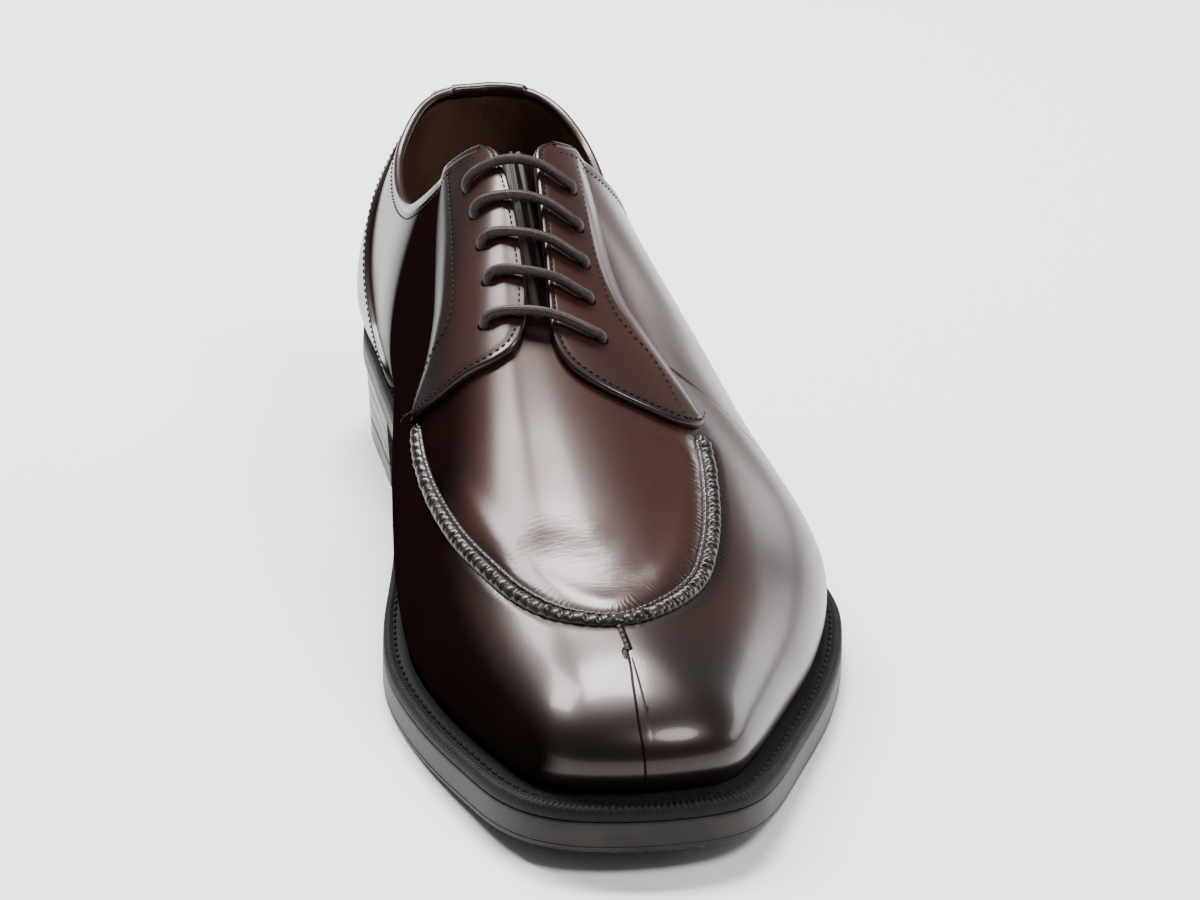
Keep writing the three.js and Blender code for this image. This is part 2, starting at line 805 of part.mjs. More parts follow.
// An overlay of a thickness on the upper, a gap above it.
function overlay(thickness) {
  return lastSolid(GAP + thickness, 0).subtract(lastSolid(GAP, WELT));
}

function makeFacing(rows, side) {
  let facing = overlay(FACING).intersect(planCutter(planPairs(rows, 34))).subtract(collar);
  for (let k = 0; k < EYELETS; k += 1) {
    const eye = eyelet(side, k);
    const centre = drape(eye.across, eye.along, 0);
    const axis = drape(eye.across, eye.along, 1).sub(centre);
    const hole = new THREE.CylinderGeometry(EYELET_RADIUS, EYELET_RADIUS, 6 * FACING, 12);
    hole.applyQuaternion(new THREE.Quaternion().setFromUnitVectors(new THREE.Vector3(0, 1, 0), axis));
    hole.translate(centre.x, centre.y, centre.z);
    facing = facing.subtract(solidOf(hole));
  }
  return largest(facing);
}

function makeCounter() {
  const steps = 16;
  const edge = Array.from({ length: steps + 1 }, (_, i) => {
    const height = lerp(COUNTER_EDGE.height[0], COUNTER_EDGE.height.at(-1), i / steps);
    const along = smooth(COUNTER_EDGE.height, COUNTER_EDGE.along, height);
    return [along * LENGTH, height * COLLAR_HEIGHT];
  });
  const back = -0.1 * LENGTH;
  const profile = [[back, edge[0][1]], ...edge, [back, edge.at(-1)[1]]];
  const shape = prism(profile.map(([along, up]) => [HEEL_MIDDLE - along, up]), 2 * BALL_WIDTH);
  // The profile is drawn along and up; it is stood up and its depth laid across the shoe.
  const stand = new THREE.Matrix4().makeBasis(
    new THREE.Vector3(0, 1, 0),
    new THREE.Vector3(0, 0, 1),
    new THREE.Vector3(1, 0, 0),
  );
  shape.applyMatrix4(stand);
  shape.translate(-BALL_WIDTH, 0, 0);
  return largest(overlay(COUNTER).intersect(solidOf(shape)).subtract(collar));
}

function makeApronSeam() {
  const run = planRun(APRON, 52).map((p) => {
    const { side, q, v } = under(p.x, p.y);
    return { point: lastPoint(side, q, v), normal: lastNormal(side, q, v) };
  });
  return bead(run, SEAM_WIDTH, SEAM_RISE);
}

function makeToeSeam() {
  const run = [];
  const add = (q, v) => {
    const point = lastPoint("inner", q, v);
    const before = run.length ? run[run.length - 1].point.distanceTo(point) : Infinity;
    if (before > 1) run.push({ point, normal: lastNormal("inner", q, v) });
  };
  for (let v = 0.1; v < 0.97; v += 0.08) add(0, v);
  const stop = place(0, APRON_FRONT * LENGTH + SEAM_WIDTH / 2 + 2 * GAP, 0).y;
  for (let q = 0; lastPoint("inner", q, 1).y < stop; q += 0.005) add(q, 1);
  return bead(run, TOE_SEAM_WIDTH, TOE_SEAM_RISE);
}

function makeTongue() {
  const layer = (depth) => lastSolid(-depth, 0).subtract(lastSolid(-depth - TONGUE, WELT));
  const plan = planCutter(stripPlan(TONGUE_PLAN));
  const front = TONGUE_LIFT * LENGTH;
  const width = 0.5 * BALL_WIDTH;
  const half = (from, to) =>
    planCutter([
      [-width, from],
      [width, from],
      [width, to],
      [-width, to],
    ]);
  const low = layer(LACE_RADIUS + GAP - UNDER).intersect(half(0, front + TONGUE));
  const high = layer(UPPER_WALL + GAP).intersect(half(front, LENGTH));
  return largest(low.add(high).intersect(plan));
}

function makeOutsole() {
  const level = (inset, height) => soleRing(() => -inset, height);
  return stacked([
    level(EDGE_INSET, soleBottom),
    level(0, (along) => soleBottom(along) + EDGE_INSET),
    level(EDGE_INSET / 2, (along) => soleTop(along) - EDGE_INSET / 2),
    level(EDGE_INSET, soleTop),
  ]);
}

function makeInsole() {
  const inset = (along) =>
    -smooth(LEDGE.along, LEDGE.width, along / LENGTH) * BALL_WIDTH - UPPER_WALL - GAP;
  return stacked([
    soleRing(inset, (along) => soleTop(along) + GAP),
    soleRing(inset, (along) => soleTop(along) + GAP + INSOLE),
  ]);
}

function makeWelt() {
  const inset = (along) => -smooth(LEDGE.along, LEDGE.width, along / LENGTH) * BALL_WIDTH + GAP;
  const low = (along) => soleTop(along) + GAP;
  const high = (along) => soleTop(along) + WELT;
  const body = stacked([
    soleRing(() => -EDGE_INSET, low),
    soleRing(() => -1.25 * EDGE_INSET, (along) => high(along) - 0.4 * EDGE_INSET),
    soleRing(() => -1.9 * EDGE_INSET, high),
  ]);
  const hole = stacked([
    soleRing(inset, (along) => low(along) - OUTSOLE),
    soleRing(inset, (along) => high(along) + OUTSOLE),
  ]);
  return body.subtract(hole);
}

// Heel layers: the outline, tapered down to its foot, cut by a hollow breast line.
function heelLayer(low, high) {
  const taper = (height) => -EDGE_INSET - (HEEL_TAPER * (HEEL_HEIGHT - height)) / HEEL_HEIGHT;
  const breast = [];
  const steps = 12;
  const hollow = 0.035 * BALL_WIDTH;
  for (let i = 0; i <= steps; i += 1) {
    const t = (2 * i) / steps - 1;
    breast.push([t * 0.5 * BALL_WIDTH, HEEL_BREAST - hollow * (1 - t * t)]);
  }
  const back = -0.1 * LENGTH;
  const plan = [...breast, [0.5 * BALL_WIDTH, back], [-0.5 * BALL_WIDTH, back]];
  const body = stacked([
    soleRing(() => taper(low(0)), low),
    soleRing(() => taper(high(0)), high),
  ]);
  return largest(body.intersect(planCutter(plan, -OUTSOLE)));
}

// A smooth path whose steps fall on its own points, which lie close where it bends.
class LacePath extends THREE.CatmullRomCurve3 {
  getPointAt(t, target) {
    return this.getPoint(t, target);
  }
  getTangentAt(t, target) {
    return this.getTangent(t, target);
  }
}

function makeLace() {
  const route = laceRoute().map(({ across, along, raise }) => drape(across, along, raise));
  const path = new LacePath(route, false, "centripetal");
  const section = new THREE.Shape();
  for (let k = 0; k < LACE_SIDES; k += 1) {
    const angle = (2 * Math.PI * k) / LACE_SIDES;
    const [x, y] = [LACE_RADIUS * Math.cos(angle), LACE_RADIUS * Math.sin(angle)];
    if (k === 0) section.moveTo(x, y);
    else section.lineTo(x, y);
  }
  section.closePath();
  const tube = new THREE.ExtrudeGeometry(section, {
    steps: route.length - 1,
    extrudePath: path,
    curveSegments: 1,
    bevelEnabled: false,
  });
  return solidOf(tube);
}

const shoe = new THREE.Group();
shoe.add(
  mesh("outsole", makeOutsole(), SOLE_BROWN, 0.35),
  mesh("welt", makeWelt(), EDGE_BLACK, 0.45),
  mesh("heel_top_piece", heelLayer(() => 0, () => TOP_PIECE), RUBBER_BLACK, 0.6),
  mesh(
    "heel_stack",
    heelLayer(() => TOP_PIECE + GAP, (along) => soleBottom(along) - GAP),
    EDGE_BLACK,
    0.35,
  ),
  mesh("insole", makeInsole(), LINING_TAN, 0.6),
  mesh("upper", makeUpper(), OAK_BROWN, 0.3),
  mesh("facing_inner", makeFacing(INNER_FACING, "inner"), OAK_BROWN, 0.3),
  mesh("facing_outer", makeFacing(OUTER_FACING, "outer"), OAK_BROWN, 0.3),
  mesh("heel_counter", makeCounter(), DARK_BROWN, 0.3),
  mesh("apron_seam", makeApronSeam(), SEAM_BROWN, 0.4),
  mesh("toe_seam", makeToeSeam(), DARK_BROWN, 0.35),
  mesh("tongue", makeTongue(), OAK_BROWN, 0.4),
  mesh("lace", makeLace(), LACE_BROWN, 0.5),
);

export default shoe;
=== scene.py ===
"""Apron toe derby, left shoe: its leather, seams, stitches and sole, dressed round its solids.

Lengths are in millimetres until a mesh is made, in a frame with +Z up, the toe towards -Y and the
outer side of the foot towards +X. Across is X, along is the distance from the back of the heel.
"""

import logging
import math
from dataclasses import dataclass, field
from enum import Enum

import bmesh
import bpy
import numpy as np
from mathutils import Matrix


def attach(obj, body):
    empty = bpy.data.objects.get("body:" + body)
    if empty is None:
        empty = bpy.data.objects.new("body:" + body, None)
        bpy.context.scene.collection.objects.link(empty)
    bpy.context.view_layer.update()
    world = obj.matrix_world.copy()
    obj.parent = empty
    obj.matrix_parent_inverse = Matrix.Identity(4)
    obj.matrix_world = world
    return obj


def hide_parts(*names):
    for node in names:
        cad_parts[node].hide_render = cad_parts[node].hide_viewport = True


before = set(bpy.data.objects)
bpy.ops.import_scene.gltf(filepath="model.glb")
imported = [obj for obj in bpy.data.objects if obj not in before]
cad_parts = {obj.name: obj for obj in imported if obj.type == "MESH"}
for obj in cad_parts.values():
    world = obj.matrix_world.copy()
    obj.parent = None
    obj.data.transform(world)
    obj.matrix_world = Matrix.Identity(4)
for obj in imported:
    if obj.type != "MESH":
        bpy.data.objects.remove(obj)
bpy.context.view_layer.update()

log = logging.getLogger("derby")
Array = np.ndarray
MM = 0.001
GAP = 0.3  # between curved pieces that meet

# Size of a stitch in each sewing, as Stitches.add reads it.
FACING_STITCH = (1.3, 0.42, 0.16)
COUNTER_STITCH = (1.35, 0.42, 0.16)
COLLAR_STITCH = (1.3, 0.4, 0.14)
WELT_STITCH = (2.5, 0.75, 0.25)
STITCH_INSET = 2.1  # facing's edge to its row of stitches
FACING_TOP = 1.95  # height of the facing's row over the last


def table(names: str, *rows: tuple[float, ...]) -> dict[str, Array]:
    """Returns the rows of a table as named columns."""
    return dict(zip(names.split(), np.array(rows, float).T))


# Outline of the outsole from the middle of the heel along the inner side to the toe and back
# along the outer side. Across is a share of the ball width, along a share of the length.
OUTLINE = table(
    "across along",
    (0.0, 0.0), (-0.175, 0.017), (-0.281, 0.082), (-0.298, 0.204), (-0.298, 0.329),
    (-0.368, 0.493), (-0.432, 0.608), (-0.453, 0.69), (-0.43, 0.783), (-0.38, 0.871),
    (-0.331, 0.9375), (-0.276, 0.972), (-0.196, 0.992), (-0.044, 1.0), (0.093, 0.99),
    (0.16, 0.971), (0.217, 0.938), (0.311, 0.866), (0.436, 0.765), (0.518, 0.672),
    (0.546, 0.599), (0.491, 0.477), (0.377, 0.329), (0.319, 0.204), (0.289, 0.082),
    (0.184, 0.016),
)
# Underside of the outsole: shares of the heel height and of the toe spring.
SOLE_LINE = table(
    "along heel spring",
    (0, 1, 0), (0.247, 0.911, 0), (0.362, 0.644, 0), (0.493, 0.196, 0), (0.625, 0, 0),
    (0.711, 0, 0), (0.822, 0, 0.183), (0.921, 0, 0.533), (1, 0, 1),
)
# Share of the full outsole thickness that the waist has given way to the ball.
SOLE_BODY = table("along ball", (0, 0), (0.247, 0), (0.428, 0.2), (0.625, 1), (1, 1))
# Visible ledge between the upper and the edge of the outsole, a share of the ball width.
LEDGE = table(
    "along width",
    (0, 0.0265), (0.132, 0.028), (0.247, 0.0315), (0.395, 0.0315), (0.559, 0.044),
    (0.691, 0.0545), (0.789, 0.0595), (0.954, 0.07), (1, 0.079),
)
# Ridge of the last from above the ankle to the toe. Height is a share of the instep height.
RIDGE = table(
    "along across height",
    (0.132, 0.04, 1.58), (0.23, 0.004, 1.506), (0.329, -0.052, 1.407), (0.428, -0.083, 1.265),
    (0.493, -0.106, 1.136), (0.559, -0.114, 1.0), (0.609, -0.117, 0.895),
    (0.658, -0.114, 0.802), (0.757, -0.092, 0.642), (0.839, -0.07, 0.537),
    (0.888, -0.061, 0.494),
)
# Station of the ridge that each station of the feather line rises to.
RIDGE_STATION = table(
    "along ridge",
    (0.01, 0.132), (0.066, 0.155), (0.23, 0.257), (0.362, 0.368), (0.724, 0.711),
    (0.862, 0.816), (0.938, 0.865), (0.974, 0.888),
)
# Walls of the last: how far the wall swings out above the feather line, where it swings as a
# share of its height, and how far its top stays level as a share of its width.
INNER_WALL = table(
    "along bulge rise crown",
    (0.013, 0.123, 0.16, 0.52), (0.082, 0.145, 0.14, 0.4), (0.197, 0.123, 0.21, 0.45),
    (0.329, 0.136, 0.26, 0.52), (0.493, 0.139, 0.35, 0.54), (0.658, 0.082, 0.415, 0.525),
    (0.789, 0.088, 0.47, 0.58), (0.905, 0.094, 0.555, 0.592), (0.964, 0.113, 0.62, 0.59),
)
OUTER_WALL = table(
    "along bulge rise crown",
    (0.013, 0.123, 0.16, 0.52), (0.082, 0.128, 0.145, 0.44), (0.197, 0.107, 0.13, 0.41),
    (0.329, 0.109, 0.175, 0.405), (0.493, 0.083, 0.25, 0.41), (0.658, 0.103, 0.347, 0.494),
    (0.789, 0.102, 0.418, 0.559), (0.905, 0.098, 0.532, 0.585), (0.964, 0.113, 0.62, 0.59),
)
# Collar seen from the side: height as a share of the collar height at the back.
TOPLINE = table(
    "along inner outer",
    (0, 1.0, 1.0), (0.02, 1.0, 1.0), (0.066, 0.965, 0.955), (0.125, 0.875, 0.86),
    (0.188, 0.835, 0.815), (0.247, 0.865, 0.83), (0.296, 0.95, 0.91), (0.332, 1.05, 1.01),
    (0.362, 1.135, 1.115), (0.385, 1.18, 1.175), (0.42, 1.24, 1.24), (0.6, 1.6, 1.6),
)
# Front edge of the heel counter seen from the side, up from the welt.
COUNTER_EDGE = table(
    "height along",
    (0.2, 0.262), (0.37, 0.25), (0.45, 0.195), (0.56, 0.148), (0.73, 0.098), (0.83, 0.066),
    (0.97, 0.046), (1.2, 0.04),
)
# Plan of the apron seam, from the inner corner round the toe to the outer corner.
APRON_FRONT = 0.8565
APRON = table(
    "across along",
    (-0.344, 0.55), (-0.35, 0.59), (-0.343, 0.651), (-0.322, 0.709), (-0.285, 0.76),
    (-0.237, 0.806), (-0.175, 0.839), (-0.105, 0.855), (-0.066, APRON_FRONT),
    (-0.026, 0.853), (0.053, 0.832), (0.127, 0.798), (0.172, 0.757), (0.2, 0.717),
    (0.217, 0.678), (0.225, 0.648), (0.224, 0.627),
)
# Plan of each facing down its throat edge and front edge to its tip, then up its sewn edge.
INNER_FACING_OPEN = table(
    "across along",
    (-0.096, 0.36), (-0.096, 0.394), (-0.094, 0.43), (-0.1, 0.5), (-0.11, 0.545),
    (-0.127, 0.571), (-0.152, 0.585), (-0.19, 0.588), (-0.24, 0.581), (-0.295, 0.57),
    (-0.332, 0.552), (-0.352, 0.53),
)
INNER_FACING_SEWN = table(
    "across along",
    (-0.235, 0.32), (-0.25, 0.38), (-0.265, 0.428), (-0.285, 0.474), (-0.31, 0.502),
    (-0.338, 0.517), (-0.352, 0.53),
)
OUTER_FACING_OPEN = table(
    "across along",
    (-0.05, 0.36), (-0.054, 0.398), (-0.056, 0.43), (-0.06, 0.507), (-0.069, 0.55),
    (-0.072, 0.577), (-0.062, 0.594), (-0.036, 0.608), (0.025, 0.621), (0.105, 0.628),
    (0.175, 0.628), (0.225, 0.617), (0.238, 0.6),
)
OUTER_FACING_SEWN = table(
    "across along",
    (0.108, 0.32), (0.11, 0.4), (0.114, 0.47), (0.13, 0.503), (0.16, 0.525),
    (0.195, 0.55), (0.225, 0.575), (0.238, 0.6),
)
# Plan of the rows that sew the facings down, from the collar to the apron's corner.
INNER_SEWING = table(
    "across along",
    (-0.183, 0.35), (-0.198, 0.398), (-0.211, 0.44), (-0.222, 0.471), (-0.234, 0.5),
    (-0.246, 0.514), (-0.261, 0.52), (-0.283, 0.522), (-0.302, 0.523), (-0.318, 0.521),
    (-0.33, 0.524), (-0.336, 0.54), (-0.339, 0.553),
)
OUTER_SEWING = table(
    "across along",
    (0.06, 0.385), (0.056, 0.442), (0.055, 0.481), (0.06, 0.508), (0.073, 0.536),
    (0.101, 0.553), (0.134, 0.566), (0.155, 0.582), (0.172, 0.604), (0.19, 0.624),
)
# Plan of the toe seam from the apron down to the welt, across only; along runs past both ends.
TOE_LINE = table(
    "rise across",
    (0.0, -0.0745), (0.12, -0.073), (0.26, -0.07), (0.44, -0.076), (0.64, -0.08), (0.9, -0.073),
)
# Troughs and ridges worn in by the foot: plan points, half width and depth out of the leather.
CREASES = (
    (((-0.29, 0.762), (-0.235, 0.774), (-0.175, 0.777), (-0.115, 0.79), (-0.055, 0.807),
      (0.03, 0.812), (0.1, 0.8)), 6.5, -0.42),
    (((-0.25, 0.742), (-0.2, 0.748), (-0.15, 0.75), (-0.09, 0.762), (-0.03, 0.777)), 5.5, 0.16),
    (((0.07, 0.648), (0.13, 0.646), (0.172, 0.654), (0.196, 0.68)), 3.0, 0.34),
)
# Plan of the opening in the upper under the facings.
THROAT = table(
    "across along",
    (-0.203, 0.28), (-0.212, 0.46), (-0.225, 0.52), (-0.215, 0.54), (-0.17, 0.548),
    (-0.125, 0.55), (-0.085, 0.552), (-0.045, 0.555), (0, 0.558), (0.045, 0.556),
    (0.07, 0.545), (0.066, 0.52), (0.06, 0.46), (0.055, 0.28),
)
# Middle line of the gap between the facings.
THROAT_LINE = table(
    "along across", (0.28, -0.07), (0.42, -0.068), (0.5, -0.072), (0.56, -0.082)
)
# Plan of the tongue.
TONGUE_PLAN = table(
    "along inner outer",
    (0.352, -0.19, 0.03), (0.362, -0.215, 0.06), (0.42, -0.225, 0.075), (0.54, -0.25, 0.1),
    (0.6, -0.24, 0.09), (0.628, -0.19, 0.04),
)


def smooth(xs: Array, ys: Array, x: Array) -> Array:
    """Monotone cubic through the rows of two columns, level beyond both ends.

    Between two rows it is the Hermite cubic whose slope at a row is the harmonic mean of the
    chords beside it, or zero where they differ in sign.

    Args:
        xs: the rising places of the rows.
        ys: their values.
        x: where the curve is read.

    Returns:
        The values at x.
    """
    x = np.clip(np.asarray(x, float), xs[0], xs[-1])
    k = np.clip(np.searchsorted(xs, x, side="right") - 1, 0, len(xs) - 2)
    chord = np.diff(ys) / np.diff(xs)
    before, after = chord[:-1], chord[1:]
    same = before * after > 0
    inside = np.where(same, 2 * before * after / np.where(same, before + after, 1), 0)
    slope = np.concatenate([chord[:1], inside, chord[-1:]])
    h = xs[k + 1] - xs[k]
    t = (x - xs[k]) / h
    rise = (3 - 2 * t) * t * t
    bend = t * (t - 1) * h * ((t - 1) * slope[k] + t * slope[k + 1])
    return (1 - rise) * ys[k] + rise * ys[k + 1] + bend


def ease(x: Array) -> Array:
    """Smooth step: 3t^2 - 2t^3 of x clipped to 0..1."""
    t = np.clip(x, 0, 1)
    return t * t * (3 - 2 * t)


def lerp(a: Array, b: Array, t: Array) -> Array:
    """Straight blend from a to b."""
    return a + (b - a) * t


def unit(vectors: Array) -> Array:
    """Vectors over their own length, along the last axis."""
    return vectors / np.maximum(np.linalg.norm(vectors, axis=-1, keepdims=True), 1e-9)


def blur(loop: Array, steps: float) -> Array:
    """Gaussian mean of a closed run, as wide as a number of its steps."""
    pitch = np.fft.rfftfreq(len(loop)).reshape(-1, *[1] * (loop.ndim - 1))
    gain = np.exp(-2 * (np.pi * pitch * steps) ** 2)
    return np.fft.irfft(np.fft.rfft(loop, axis=0) * gain, len(loop), axis=0)


def spline(points: Array, per: int, closed: bool = False) -> Array:
    """Centripetal Catmull-Rom curve through points.

    Knots are spaced by the square root of the chords, and each span blends its four points by
    a pyramid of straight blends over those knots.

    Args:
        points: the points, one a row.
        per: steps in each span.
        closed: True if the run closes on itself.

    Returns:
        The curve's points.
    """
    if closed:
        padded = np.vstack([points[-1:], points, points[:2]])
    else:
        padded = np.vstack([2 * points[0] - points[1], points, 2 * points[-1] - points[-2]])
    p = [padded[i : len(padded) - 3 + i][:, None] for i in range(4)]
    step = [np.linalg.norm(p[i + 1] - p[i], axis=-1, keepdims=True) ** 0.5 for i in range(3)]
    k0 = np.zeros_like(step[0])
    k1 = k0 + step[0]
    k2 = k1 + step[1]
    k3 = k2 + step[2]
    t = k1 + (k2 - k1) * (np.arange(per) / per)[None, :, None]
    a = [
        ((k1 - t) * p[0] + (t - k0) * p[1]) / (k1 - k0),
        ((k2 - t) * p[1] + (t - k1) * p[2]) / (k2 - k1),
        ((k3 - t) * p[2] + (t - k2) * p[3]) / (k3 - k2),
    ]
    b = [
        ((k2 - t) * a[0] + (t - k0) * a[1]) / (k2 - k0),
        ((k3 - t) * a[1] + (t - k1) * a[2]) / (k3 - k1),
    ]
    curve = ((k2 - t) * b[0] + (t - k1) * b[1]) / (k2 - k1)
    curve = curve.reshape(-1, points.shape[1])
    return curve if closed else np.vstack([curve, points[-1:]])


def lengths(run: Array) -> Array:
    """Distance travelled along a run, at each of its points."""
    return np.concatenate([[0], np.cumsum(np.linalg.norm(np.diff(run, axis=0), axis=-1))])


def read_run(run: Array, along: Array, at: Array) -> Array:
    """Points of a run where its own measure along reaches the values at."""
    return np.stack([np.interp(at, along, run[:, i]) for i in range(run.shape[1])], -1)


def even(run: Array, count: int) -> Array:
    """A run resampled to count points an equal way apart."""
    measure = lengths(run)
    return read_run(run, measure, np.linspace(0, measure[-1], count))


def place(across: Array, along: Array, up: Array) -> Array:
    """Points of the frame from across, along and up."""
    parts = np.broadcast_arrays(across, Last.heel_middle - along, up)
    return np.stack(parts, -1)


@dataclass
class Last:
    """The form of the shoe: two walls that rise from the feather line to the ridge.

    A place on it has two parameters. q runs from the toe (0) to the heel (1) by the share of
    the feather line's length. w runs across from the inner feather line (-1) over the ridge (0)
    to the outer one (1). At each q a wall is the cubic Bezier curve of four points: the feather
    line, the swing of the wall, the level of its crown and the ridge.
    """

    length: float = 304.0
    ball_width: float = 114.0
    heel_height: float = 22.5
    toe_spring: float = 6.0
    instep_height: float = 81.0
    collar_height: float = 90.5
    outsole: float = 7.2
    waist_sole: float = 5.2
    welt: float = 3.1
    wall: float = 2.0
    samples: int = 1400
    heel_middle = 0.112 * 304.0

    def __post_init__(self) -> None:
        """Works out the outline, the control points of the walls and the top of each wall."""
        corners = self.plan(OUTLINE)
        run = spline(corners, 60, closed=True)
        count = 2 * self.samples
        run = even(np.vstack([run, run[:1]]), count + 1)[:-1]
        step = np.linalg.norm(run[1] - run[0])
        self.outline = blur(run, 1.5 / step)
        tangent = unit(np.roll(self.outline, -1, 0) - np.roll(self.outline, 1, 0))
        self.outward = np.stack([-tangent[:, 1], tangent[:, 0]], -1)
        self.controls = self._controls()
        self.shares = np.linspace(0, 1, 801)
        self.tops = np.stack([self._top(-1), self._top(1)])

    def plan(self, rows: dict[str, Array]) -> Array:
        """The rows of a plan table as points across and along."""
        return np.stack([rows["across"] * self.ball_width, rows["along"] * self.length], -1)

    def sole_bottom(self, along: Array) -> Array:
        """Height of the outsole's underside."""
        heel = smooth(SOLE_LINE["along"], SOLE_LINE["heel"], along / self.length)
        spring = smooth(SOLE_LINE["along"], SOLE_LINE["spring"], along / self.length)
        return heel * self.heel_height + spring * self.toe_spring

    def sole_top(self, along: Array) -> Array:
        """Height of the outsole's upper face."""
        ball = smooth(SOLE_BODY["along"], SOLE_BODY["ball"], along / self.length)
        return self.sole_bottom(along) + lerp(self.waist_sole, self.outsole, ball)

    def ledge(self, along: Array) -> Array:
        """Width of the ledge outside the upper."""
        return smooth(LEDGE["along"], LEDGE["width"], along / self.length) * self.ball_width

    def grown(self, growth: Array) -> Array:
        """The outline moved outwards by a growth, points across and along."""
        return self.outline + self.outward * np.reshape(growth, (-1, 1))

    def halves(self, growth: Array) -> Array:
        """Both halves of the grown outline from the toe to the heel, an equal way apart."""
        moved = self.grown(growth)
        toe = np.argmax(moved[:, 1])
        heel = np.argmin(moved[:, 1])
        count = len(moved)
        inner = moved[(toe - np.arange((toe - heel) % count + 1)) % count]
        outer = moved[(toe + np.arange((heel - toe) % count + 1)) % count]
        return np.stack([even(inner, self.samples + 1), even(outer, self.samples + 1)])

    def ridge(self, along: Array) -> tuple[Array, Array, Array]:
        """Across, height and slope of the ridge."""
        share = along / self.length
        step = 0.002
        across = smooth(RIDGE["along"], RIDGE["across"], share) * self.ball_width
        up = smooth(RIDGE["along"], RIDGE["height"], share) * self.instep_height
        ahead = smooth(RIDGE["along"], RIDGE["height"], share + step)
        behind = smooth(RIDGE["along"], RIDGE["height"], share - step)
        slope = (ahead - behind) * self.instep_height / (2 * step * self.length)
        return across, up, slope

    def _controls(self) -> Array:
        """Control points of both walls, softened a little along the feather line."""
        feet = self.halves(-self.ledge(self.outline[:, 1]))
        mean = feet[..., 1].mean(0) / self.length
        station = smooth(RIDGE_STATION["along"], RIDGE_STATION["ridge"], mean) * self.length
        across, up, slope = self.ridge(station)
        end = np.stack([across, station, up], -1)
        walls = []
        for foot, wall in zip(feet, (INNER_WALL, OUTER_WALL)):
            share = foot[:, 1] / self.length
            bulge, rise, crown = (
                smooth(wall["along"], wall[name], share) for name in ("bulge", "rise", "crown")
            )
            start_up = self.sole_top(foot[:, 1]) + GAP + self.welt
            start = np.column_stack([foot, start_up])
            out = start[:, :2] - end[:, :2]
            width = np.linalg.norm(out, axis=-1)
            out = out / width[:, None]
            swing = start.copy()
            swing[:, :2] += out * (bulge * self.ball_width)[:, None]
            swing[:, 2] += rise * (up - start_up)
            reach = crown * width
            level = end.copy()
            level[:, :2] += out * reach[:, None]
            level[:, 2] += slope * out[:, 1] * reach
            walls.append(np.stack([start, swing, level, end], 1))
        loop = np.concatenate([walls[0], walls[1][-2:0:-1]])
        soft = blur(loop, 16)
        soft[:, 0] = blur(loop[:, 0], 4)
        inner = soft[: self.samples + 1]
        outer = np.concatenate([soft[self.samples :], soft[:1]])[::-1]
        both = np.stack([inner, outer])
        both[..., 1] = self.heel_middle - both[..., 1]
        reach = both[:, :, 2] - both[:, :, 3]
        along = np.gradient(both[0, :, 3], axis=0)
        plane = unit(unit(np.cross(reach[0], along)) - unit(np.cross(reach[1], along)))
        both[:, :, 2] -= plane * (reach * plane).sum(-1, keepdims=True)
        return both

    def point(self, q: Array, w: Array) -> Array:
        """Points of the last, softened across the ridge by a mean of five places near by."""
        q, w = np.broadcast_arrays(np.asarray(q, float), np.asarray(w, float))
        step = 0.045 * ease(1 - np.abs(w) / 0.42)
        mean = sum(
            share * self._bare(q, w + k * step)
            for k, share in ((-2, 0.12), (-1, 0.24), (0, 0.28), (1, 0.24), (2, 0.12))
        )
        return mean

    def _bare(self, q: Array, w: Array) -> Array:
        """Points of the two walls. Past either end the surface goes on over the other side."""
        q, w = np.broadcast_arrays(np.asarray(q, float), np.asarray(w, float))
        w = np.where((q < 0) | (q > 1), -w, w)
        q = np.where(q < 0, -q, np.where(q > 1, 2 - q, q))
        v = 1 - np.minimum(np.abs(w), 1)
        at = q * self.samples
        k = np.clip(at.astype(int), 0, self.samples - 1)
        t = (at - k)[..., None, None]
        side = (w > 0).astype(int)
        c = self.controls[side, k] * (1 - t) + self.controls[side, k + 1] * t
        u = 1 - v
        weights = np.stack([u**3, 3 * u * u * v, 3 * u * v * v, v**3], -1)
        return np.einsum("...i,...ij->...j", weights, c)

    def normal(self, q: Array, w: Array) -> Array:
        """Outward normals of the last, from differences along q and across w."""
        q, w = np.broadcast_arrays(np.asarray(q, float), np.asarray(w, float))
        step_q, step_w = 0.004, 0.01
        level = np.where(np.abs(w) < 0.04, np.where(w < 0, -0.04, 0.04), w)
        along = self.point(q + step_q, level) - self.point(q - step_q, level)
        high = self.point(q, np.minimum(w + step_w, 1))
        low = self.point(q, np.maximum(w - step_w, -1))
        return unit(np.cross(high - low, along))

